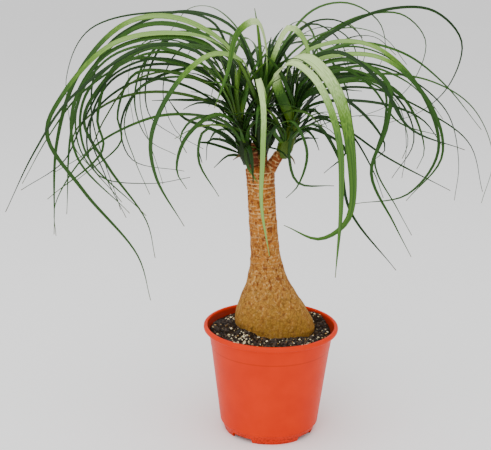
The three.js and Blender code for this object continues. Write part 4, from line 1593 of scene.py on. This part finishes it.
LEAVES = (
    # far left, from the highest arch to the lowest
    leaf(L, 4, -55, DARK, (-75, 35, 510), (-155, 60, 520), (-235, 85, 495), (-267, 105, 435),
         (-266, 120, 360)),
    leaf(M, 5, -60, DARK, (-50, 15, 505), (-105, 25, 525), (-165, 30, 510), (-210, 40, 475),
         (-228, 47, 405), (-195, 60, 270)),
    leaf(M, 8, -75, LIGHT, (-60, -15, 490), (-120, -25, 522), (-175, -30, 515), (-228, -40, 460),
         (-255, -48, 380), (-260, -60, 270)),
    leaf(M, 8, -75, LIGHT, (-65, -20, 490), (-125, -35, 505), (-190, -50, 492), (-245, -65, 435),
         (-262, -72, 392), (-220, -86, 330), (-157, -102, 258), (-142, -110, 207)),
    leaf(L, 7, -70, MID, (-76, -24, 488), (-140, -39, 500), (-197, -51, 480), (-232, -64, 425),
         (-228, -75, 367), (-167, -90, 305)),
    leaf(L, 5, -60, DARK, (-65, -30, 462), (-105, -50, 490), (-150, -68, 492), (-228, -103, 440),
         (-267, -127, 382), (-296, -150, 320)),
    leaf(L, 4, -60, DARK, (-75, -14, 451), (-138, -27, 475), (-191, -35, 455), (-226, -45, 400),
         (-247, -52, 357), (-297, -60, 323)),
    leaf(L, 6, -65, MID, (-72, -6, 446), (-137, -13, 472), (-188, -17, 466), (-211, -22, 403),
         (-205, -24, 366), (-272, -30, 305)),
    leaf(L, 6, -65, MID, (-64, -11, 437), (-92, -20, 471), (-159, -32, 486), (-221, -46, 433),
         (-221, -56, 369), (-150, -70, 297)),
    leaf(L, 5, -60, OLIVE, (-60, 7, 408), (-128, 17, 429), (-199, 26, 416), (-250, 34, 366),
         (-218, 40, 316)),
    leaf(L, 5, -60, MID, (-60, 12, 393), (-128, 28, 400), (-186, 40, 380), (-234, 50, 346), (-280, 64, 273),
         (-281, 70, 231)),
    leaf(L, 5, -55, DARK, (-67, -4, 448), (-138, -8, 466), (-194, -12, 447), (-221, -15, 390),
         (-204, -17, 333), (-179, -20, 281)),
    # hooked leaves on the left that curl back under themselves
    leaf(M, 5, -65, MID, (-61, 21, 466), (-122, 42, 494), (-162, 56, 460), (-176, 69, 406),
         (-160, 81, 358), (-126, 90, 337)),
    leaf(M, 5, -60, DARK, (-65, 17, 467), (-126, 31, 493), (-158, 43, 442), (-155, 51, 393),
         (-119, 60, 364)),
    leaf(L, 5, -60, DARK, (-65, 24, 449), (-105, 39, 456), (-169, 62, 427), (-195, 78, 376),
         (-182, 91, 329), (-116, 110, 311)),
    leaf(L, 4, -55, DARK, (-84, 6, 427), (-160, 12, 445), (-226, 19, 393), (-219, 23, 325),
         (-154, 27, 313), (-104, 30, 321)),
    leaf(L, 8, -80, LIGHT, (-36, -29, 468), (-72, -51, 484), (-109, -73, 459), (-140, -104, 400),
         (-134, -125, 357), (-101, -150, 307)),
    leaf(M, 8, -80, PALE, (-13, -33, 482), (-26, -59, 522), (-46, -73, 511), (-57, -99, 468),
         (-70, -120, 433)),
    # short low leaves on the left
    leaf(L, 7, -65, MID, (-47, -30, 400), (-72, -52, 414), (-104, -82, 391), (-112, -106, 359),
         (-100, -120, 342)),
    leaf(L, 5, -65, MID, (-57, -10, 382), (-84, -18, 390), (-91, -28, 356), (-66, -40, 314)),
    leaf(L, 5, -55, DARK, (-54, -6, 364), (-92, -14, 373), (-87, -20, 350)),
    leaf(L, 5, -55, DARK, (-57, 12, 370), (-80, 22, 370), (-84, 30, 343)),
    leaf(L, 5, -50, MID, (-55, 10, 354), (-74, 20, 336)),
    leaf(L, 6, -60, DARK, (-65, 22, 378), (-115, 48, 394), (-134, 60, 415)),
    leaf(L, 6, -60, DARK, (-60, 14, 416), (-109, 29, 418), (-152, 40, 415)),
    leaf(L, 5, -60, MID, (-64, -10, 394), (-95, -18, 404), (-113, -26, 382), (-105, -30, 364)),
    # the middle of the crown
    leaf(M, 6.5, 5, BLOOM, (-14, -38, 430), (-22, -60, 457), (-16, -80, 430), (-16, -118, 381),
         (-17, -155, 334), (-8, -190, 287)),
    leaf(M, 9, 75, BLOOM, (-7, -13, 466), (14, -26, 513), (30, -32, 500), (40, -40, 466)),
    leaf(M, 11, 55, DARK, (-12, 9, 459), (8, 20, 504)),
    leaf(M, 9, -50, MID, (-27, 15, 458), (-44, 27, 487), (-51, 30, 481)),
    leaf(M, 9, 60, DARK, (-13, 6, 464), (-7, 10, 498)),
    leaf(M, 7, 45, OLIVE, (-29, -21, 441), (-47, -34, 477), (-60, -40, 490)),
    leaf(M, 8, 65, PALE, (-6, -39, 451), (15, -60, 476), (42, -81, 460), (66, -120, 405),
         (69, -157, 341), (62, -200, 267)),
    leaf(R, 14, 95, PALE, (1, -29, 459), (32, -48, 480), (66, -70, 446), (84, -98, 372),
         (80, -122, 310), (49, -136, 291), (8, -150, 310)),
    leaf(R, 6, 35, MID, (-2, -26, 393), (18, -46, 407), (35, -74, 376), (24, -99, 342), (11, -110, 331)),
    leaf(M, 6, -10, FRESH, (-34, -18, 370), (-33, -38, 353), (-21, -60, 337)),
    # the right side, from the highest arch to the lowest
    leaf(M, 4, 55, MID, (2, 15, 477), (42, 31, 528), (85, 40, 537), (125, 48, 514), (135, 57, 478),
         (129, 60, 460)),
    leaf(M, 5, 60, DARK, (16, 14, 461), (71, 31, 505), (134, 45, 530), (192, 56, 528), (230, 65, 490),
         (219, 75, 434), (186, 83, 399), (147, 90, 383)),
    leaf(R, 7, 80, LIGHT, (15, -10, 467), (66, -20, 496), (115, -27, 491), (165, -36, 446), (190, -45, 375),
         (156, -53, 324), (94, -60, 313)),
    leaf(R, 5, 60, MID, (26, 10, 459), (90, 19, 491), (152, 26, 480), (205, 33, 443), (257, 40, 385)),
    leaf(R, 6, 65, DARK, (22, -22, 461), (67, -39, 487), (115, -55, 458), (151, -73, 406), (212, -90, 385)),
    leaf(R, 4, 60, MID, (35, 27, 435), (118, 62, 449), (198, 89, 438), (260, 112, 400), (295, 132, 331),
         (288, 150, 264)),
    leaf(R, 6, 65, MID, (36, -5, 433), (110, -11, 453), (151, -14, 431), (178, -19, 370), (170, -20, 347)),
    leaf(R, 6, 65, DARK, (33, -14, 429), (63, -23, 438), (107, -36, 410), (128, -45, 376), (114, -50, 363)),
    leaf(R, 7, 70, MID, (32, -15, 456), (82, -28, 477), (128, -40, 452), (128, -50, 405), (111, -60, 350),
         (139, -73, 293), (160, -80, 255)),
    leaf(R, 5, 60, DARK, (40, -10, 419), (115, -24, 427), (170, -34, 410), (196, -40, 379)),
    leaf(M, 4, 55, DARK, (41, 25, 453), (110, 48, 464), (171, 65, 442), (222, 82, 397), (243, 98, 330),
         (243, 110, 277)),
    leaf(R, 4, 55, DARK, (51, 9, 429), (112, 18, 438), (198, 28, 402), (243, 34, 367), (264, 40, 306)),
    leaf(R, 7, 70, LIGHT, (30, -15, 463), (80, -26, 483), (130, -37, 476), (182, -50, 420), (192, -59, 370),
         (152, -70, 320)),
    leaf(R, 4, 55, DARK, (51, -3, 406), (82, -5, 395), (120, -9, 340), (133, -10, 308)),
    leaf(R, 4, 55, DARK, (48, -5, 404), (85, -9, 391), (133, -13, 360), (212, -20, 321)),
    leaf(R, 5, 60, DARK, (46, -13, 398), (75, -27, 362), (90, -41, 300), (146, -60, 232)),
    leaf(M, 4, 50, DARK, (11, 21, 482), (42, 35, 512), (77, 45, 492), (91, 55, 452), (89, 60, 432)),
    leaf(R, 6, 60, DARK, (36, 16, 437), (88, 29, 450), (138, 40, 445)),
    leaf(R, 5, 60, MID, (34, 16, 430), (98, 35, 462), (159, 49, 444), (203, 60, 406)),
    # short low leaves on the right
    leaf(R, 5, 55, MID, (32, 5, 410), (48, 7, 412), (63, 10, 391)),
    leaf(R, 5, 55, DARK, (35, 8, 394), (47, 13, 413), (58, 18, 388)),
    leaf(R, 5, 50, DARK, (31, 21, 373), (55, 40, 371)),
    leaf(R, 5, 25, MID, (21, -5, 392), (17, -13, 360), (28, -21, 328), (71, -30, 327)),
    leaf(R, 5, 60, DARK, (34, -5, 392), (85, -14, 367), (59, -20, 340)),
    # the two longest at the back
    leaf(M, 6, 35, MID, (-25, 60, 480), (-45, 130, 480), (-60, 180, 420), (-65, 200, 345)),
    leaf(M, 5, -50, DARK, (5, 55, 475), (50, 125, 478), (95, 175, 425), (115, 200, 350)),
)


@dataclass(frozen=True)
class Fan:
    """A group of leaves spread by the golden angle, each bending down evenly.

    Args:
        count: How many leaves it has.
        headings: First and last heading in degrees.
        lift: Least and greatest slope at the shoot in degrees.
        length: Least and greatest length in millimetres.
        droop: Least and greatest bend from root to tip in degrees.
        width: Least and greatest width in millimetres.
        roll: Least and greatest roll in degrees.
        tones: The tones its leaves take in turn.
        rise: How far up its shoot a leaf starts, least and greatest; one for the very tip.
    """

    count: int
    headings: Pair
    lift: Pair
    length: Pair
    droop: Pair
    width: Pair
    roll: Pair
    tones: tuple[Tone, ...]
    rise: Pair = (1.0, 1.0)


@dataclass
class LeafCrown:
    """The crown: green shoots, the leaves that stand out, and the crowd that fills it.

    Args:
        shoots: Each shoot's foot, tip and radius.
        shoot_taper: Share of its radius that a shoot loses up to its tip.
        shoot_foot: Share of its radius that a shoot has at its foot.
        heart: Centre and radii of the crowded leaf bases.
        rooting: The height from which leaves root higher up their shoot, over what height that
            goes on, and the least and greatest share of the shoot.
        spacing: Distance between a blade's cross-sections.
        channel: How far the margins rise, as a share of half the width.
        thickness: Thickness of a blade.
        tip_share: Width at the tip, as a share of the full width.
        clasped_tone: Tone of a pale leaf where it still clasps its shoot, before its painted sheen.
        paling: How far from its root a leaf starts to pale with painted sheen, and where it is as pale as
            it gets.
        hanging_from: Share of its length past which a falling leaf starts to take its hanging tone, painted
            shade in place of its sheen.
        margin_lift: How late across the blade its margins start to rise.
        seed: Seed of the crowd.
        fillers: Made-up leaves that the crown's solid has as well.
        crowd: Shorter ones, denser than the solid can hold.
        companions: How many narrower leaves run behind high ones.
    """

    shoots: dict[Shoot, tuple[Place, Place, float]] = field(default_factory=lambda: {
        Shoot.LEFT: ((-31, 1, 346), (-48, -1, 406), 10.5),
        Shoot.MIDDLE: ((-16, 5, 352), (-17, 7, 432), 11.5),
        Shoot.RIGHT: ((8, 4, 354), (26, 3, 402), 10.5)})
    shoot_taper: float = 0.45
    shoot_foot: float = 0.6
    heart: tuple[Place, Place] = ((-14, 8, 384), (17, 11, 26))
    rooting: tuple[float, float, float, float] = (365.0, 110.0, 0.12, 0.8)
    spacing: float = 9.0
    channel: float = 0.24
    thickness: float = 0.8
    tip_share: float = 0.05
    clasped_tone: float = 0.15
    paling: Pair = (45.0, 80.0)
    hanging_from: float = 0.34
    margin_lift: float = 1.5
    seed: int = 20417
    fillers: tuple[Fan, ...] = (
        Fan(16, (12, 168), (44, 70), (190, 270), (95, 125), (4, 6), (-40, 40), (DARK, MID, DARK, MID)),
        Fan(10, (0, 360), (64, 84), (60, 95), (15, 50), (6, 10), (-25, 25), (MID, DARK, DARK)))
    crowd: tuple[Fan, ...] = (
        Fan(30, (0, 360), (58, 86), (70, 130), (20, 80), (5, 9), (-30, 30),
            (DARK, MID, DARK, OLIVE, DARK, DARK), (0.3, 1.0)),
        Fan(34, (0, 360), (20, 60), (60, 150), (40, 100), (5, 8), (-40, 40),
            (DARK, MID, DARK, DARK, OLIVE, DARK), (0.1, 0.9)),
        Fan(40, (-60, 240), (50, 82), (40, 80), (10, 60), (4, 8), (-20, 20),
            (MID, DARK, OLIVE, DARK, DARK), (0.1, 0.6)),
        Fan(5, (180, 360), (-40, 20), (12, 24), (10, 60), (4, 6), (-20, 20), (OLD,), (0.04, 0.3)))
    companions: int = 20

    def build(self) -> list[bpy.types.Object]:
        """Make the shoots and all the blades."""
        return [self.build_shoots(), self.build_blades()]

    def build_shoots(self) -> bpy.types.Object:
        """Make the green shoots and the heart of crowded leaf bases.

        Returns:
            The shoots and the heart, in one piece.
        """
        mesh = merged("shoot_cores", [self.heart_mesh(), *map(self.shoot_mesh, Shoot)])
        right_side = places_of(mesh)[0] > 0
        for name, value in (("across", 0.0), ("tone", 0.06), ("age", 0.04), ("under", 0.0)):
            store(mesh, name, np.full(len(mesh.vertices), value))
        store(mesh, "along", np.where(right_side, 0.05, 0.13))
        return dress(mesh_object("shoot_cores", mesh), LEAF_SKIN, "leaf_crown")

    def heart_mesh(self) -> bpy.types.Mesh:
        """Make the heart, an egg ridged by the leaf bases that are crowded in it.

        Returns:
            A closed mesh.
        """
        (cx, cy, cz), (rx, ry, rz) = self.heart
        steps, sides = 24, 36
        rows = []
        for step in range(1, steps):
            polar = math.pi * step / steps
            rows.append([])
            for side in range(sides):
                angle = math.tau * side / sides
                ridge = 0.88 + 0.05 * math.sin(9 * angle + 7 * polar)
                rows[-1].append((cx + rx * ridge * math.sin(polar) * math.cos(angle),
                                 cy + ry * ridge * math.sin(polar) * math.sin(angle),
                                 cz - rz * ridge * math.cos(polar)))
        return stacked_rings("heart", rows)

    def shoot_mesh(self, shoot: Shoot) -> bpy.types.Mesh:
        """Make one shoot, a tapering limb ridged by the leaves that clasp it.

        Args:
            shoot: Which shoot it is.

        Returns:
            A closed mesh.
        """
        foot, tip, radius = self.shoots[shoot]
        start, axis = Vector(foot), Vector(tip) - Vector(foot)
        turn = axis.to_track_quat("Z", "Y").to_matrix()
        steps, sides = 24, 28
        rows = []
        for step in range(steps + 1):
            share = step / steps
            plain = radius * (1 - self.shoot_taper * share)
            plain *= math.sqrt(max(BLUNT_END, min(1.0, (1 - share) * 5)))
            plain *= self.shoot_foot + (1 - self.shoot_foot) * ease(share / 0.3)
            rows.append([])
            for side in range(sides):
                angle = math.tau * side / sides
                r = plain * (1 + 0.13 * math.sin(7 * angle + 9 * share))
                spot = Vector((r * math.cos(angle), r * math.sin(angle), share * axis.length))
                rows[-1].append(tuple(start + turn @ spot))
        return stacked_rings("shoot", rows)

    # ------------------------------------------------------------ where the leaves run
    def root(self, shoot: Shoot, height: float) -> Vector:
        """Find where on its shoot a leaf is rooted.

        Args:
            shoot: The shoot.
            height: The height of the first place that the leaf passes through.

        Returns:
            The place where it is rooted.
        """
        foot, tip, _ = self.shoots[shoot]
        lowest, reach, least, greatest = self.rooting
        share = min(greatest, max(least, (height - lowest) / reach))
        return Vector(foot).lerp(Vector(tip), share)

    def routes(self) -> list[LeafRoute]:
        """List every leaf of the crown.

        Returns:
            The leaves of the table, then the fans, the crowd and the companions.
        """
        fanned, turn = self.fan_out(self.fillers, small_random(self.seed), 0.0)
        crowd, _ = self.fan_out(self.crowd, small_random(self.seed + 1), turn)
        return [*LEAVES, *fanned, *crowd, *self.companion_leaves()]

    def fan_out(self, fans: Iterable[Fan], source: Callable[[], float],
                turn: float) -> tuple[list[LeafRoute], float]:
        """Lay out the leaves of some fans.

        Args:
            fans: The fans in order.
            source: Gives numbers from 0 to 1.
            turn: The golden-angle turn reached so far.

        Returns:
            The leaves and the turn reached.
        """
        leaves = []
        steps, bend = 5, 1.3
        for fan in fans:
            for index in range(fan.count):
                turn = (turn + GOLDEN_ANGLE) % 360
                first, last = fan.headings
                heading = math.radians(first + (last - first) * turn / 360)
                lift, length, droop, width, roll = (
                    low + (high - low) * source()
                    for low, high in (fan.lift, fan.length, fan.droop, fan.width, fan.roll))
                shoot = tuple(Shoot)[index % 3]
                foot, tip, _ = self.shoots[shoot]
                low, high = fan.rise
                share = 1.0 if low == high else low + (high - low) * source()
                point = Vector(foot).lerp(Vector(tip), share)
                places = []
                for step in range(steps):
                    slope = math.radians(lift - droop * (step / (steps - 1)) ** bend)
                    point = point + length / steps * Vector((math.cos(slope) * math.cos(heading),
                                                             math.cos(slope) * math.sin(heading),
                                                             math.sin(slope)))
                    places.append(tuple(point))
                leaves.append(LeafRoute(shoot, width, roll, fan.tones[index % len(fan.tones)],
                                        tuple(places)))
        return leaves, turn

    def companion_leaves(self) -> list[LeafRoute]:
        """Add narrower leaves that run behind high ones in the table, as if from the same whorl.

        Returns:
            The narrower leaves.
        """
        chance = random.Random(self.seed)
        high, wide, stride, slimmest = 430, 120, 7, 3.5
        order = [row for row in LEAVES
                 if row.places[0][2] >= high and abs(row.places[-1][0]) > wide]
        leaves = []
        for index in range(self.companions):
            row = order[(index * stride) % len(order)]
            back = math.copysign(chance.uniform(6, 22), row.places[-1][0])
            turn = Matrix.Rotation(math.radians(back), 3, "Z")
            shrink = chance.uniform(0.78, 0.97)
            drop = chance.uniform(0.86, 1.0)
            hub = self.root(row.shoot, row.places[0][2])
            places = []
            for place in row.places:
                reach = turn @ (Vector(place) - hub) * shrink
                if reach.z > 0:
                    reach.z *= drop
                places.append(tuple(hub + reach))
            tone = chance.choice((DARK, DARK, MID, MID, OLIVE, MID))
            width = max(slimmest, row.width * chance.uniform(0.65, 0.95))
            leaves.append(LeafRoute(row.shoot, width, row.roll, tone, tuple(places)))
        return leaves

    # ------------------------------------------------------------ their blades
    def blade_half_width(self, route: LeafRoute, share: float) -> float:
        """Find half a blade's width; the palest leaves hold their width for longer.

        Args:
            route: The leaf.
            share: How far along it, as a share of its length.

        Returns:
            Half the width there, in millimetres.
        """
        palest = route.tone in (PALE, BLOOM)
        widest, slimming, first = (1.05, 0.15, 0.3) if palest else (0.92, 0.22, 0.1)
        broad, long_point, short_point, slimmest = 12, 1.2, 2.1, 0.45
        full = route.width * (widest - slimming * ease((share - first) / 0.5))
        point = held((share - 0.5) / 0.5) ** (long_point if route.width > broad else short_point)
        full *= 1 - (1 - self.tip_share) * point
        clasp = 1 + 0.25 * math.exp(-share / 0.03)
        return max(slimmest, full * clasp / 2)

    def build_blades(self) -> bpy.types.Object:
        """Sweep every blade along its midrib by Geometry Nodes.

        Returns:
            All the blades, in one piece.
        """
        spots, edges = [], []
        columns: dict[str, list] = {name: [] for name in (
            "midrib", "side_way", "rise_way", "back_way", "along", "tone", "age")}
        for route in self.routes():
            midrib = smooth_route([self.root(route.shoot, route.places[0][2]),
                                   *map(Vector, route.places)], self.spacing)
            length = np.linalg.norm(np.diff(midrib, axis=0), axis=1).sum()
            first, hanging = len(spots), 0.0
            # painted sheen and shade: a blade is paler where it arches up to the light above and takes its
            # darker hanging tone where it falls away
            falls = -np.gradient(midrib[:, 2]) / np.linalg.norm(np.gradient(midrib, axis=0), axis=1)
            for index, (place, side, face, share) in enumerate(blade_frames(midrib, route)):
                half = self.blade_half_width(route, share)
                hanging = max(hanging, ease((share - self.hanging_from) / 0.26)
                              * ease((falls[index] - 0.2) / 0.5))
                spots.append(tuple(place * MM))
                if index:
                    edges.append((first + index - 1, first + index))
                columns["midrib"].append(place * MM)
                columns["side_way"].append(side * half * MM)
                columns["rise_way"].append(face * half * self.channel * MM)
                columns["back_way"].append(face * self.thickness / 2 * MM)
                columns["along"].append(share)
                # the leaf's own tone, with painted sheen on the arch and painted shade where it hangs
                arch, tip, age = route.tone.value
                start, end = self.paling
                rise = ease((share * length - start) / (end - start))
                low = min(arch, self.clasped_tone)
                columns["tone"].append(low + (arch - low) * rise + (tip - arch) * hanging)
                columns["age"].append(age)
        mesh = bpy.data.meshes.new("leaf_blades")
        mesh.from_pydata(spots, edges, [])
        for name, rows in columns.items():
            store(mesh, name, np.array(rows))
        blades = mesh_object("leaf_blades", mesh)
        modifier = blades.modifiers.new("sweep", "NODES")
        modifier.node_group = blade_sweep(LEAF_SKIN.material())
        set_input(modifier, "Margin Lift", self.margin_lift)
        settle(blades)
        face_outwards(blades.data)
        return dress(blades, LEAF_SKIN, "leaf_crown")


def main() -> None:
    """Build the studio and then the plant, from the pot up."""
    logging.basicConfig(level=logging.INFO, format="%(name)s: %(message)s")
    Studio().build()
    NurseryPot().build()
    PottingMix().build()
    Trunk().build()
    LeafCrown().build()


if __name__ == "__main__":
    main()
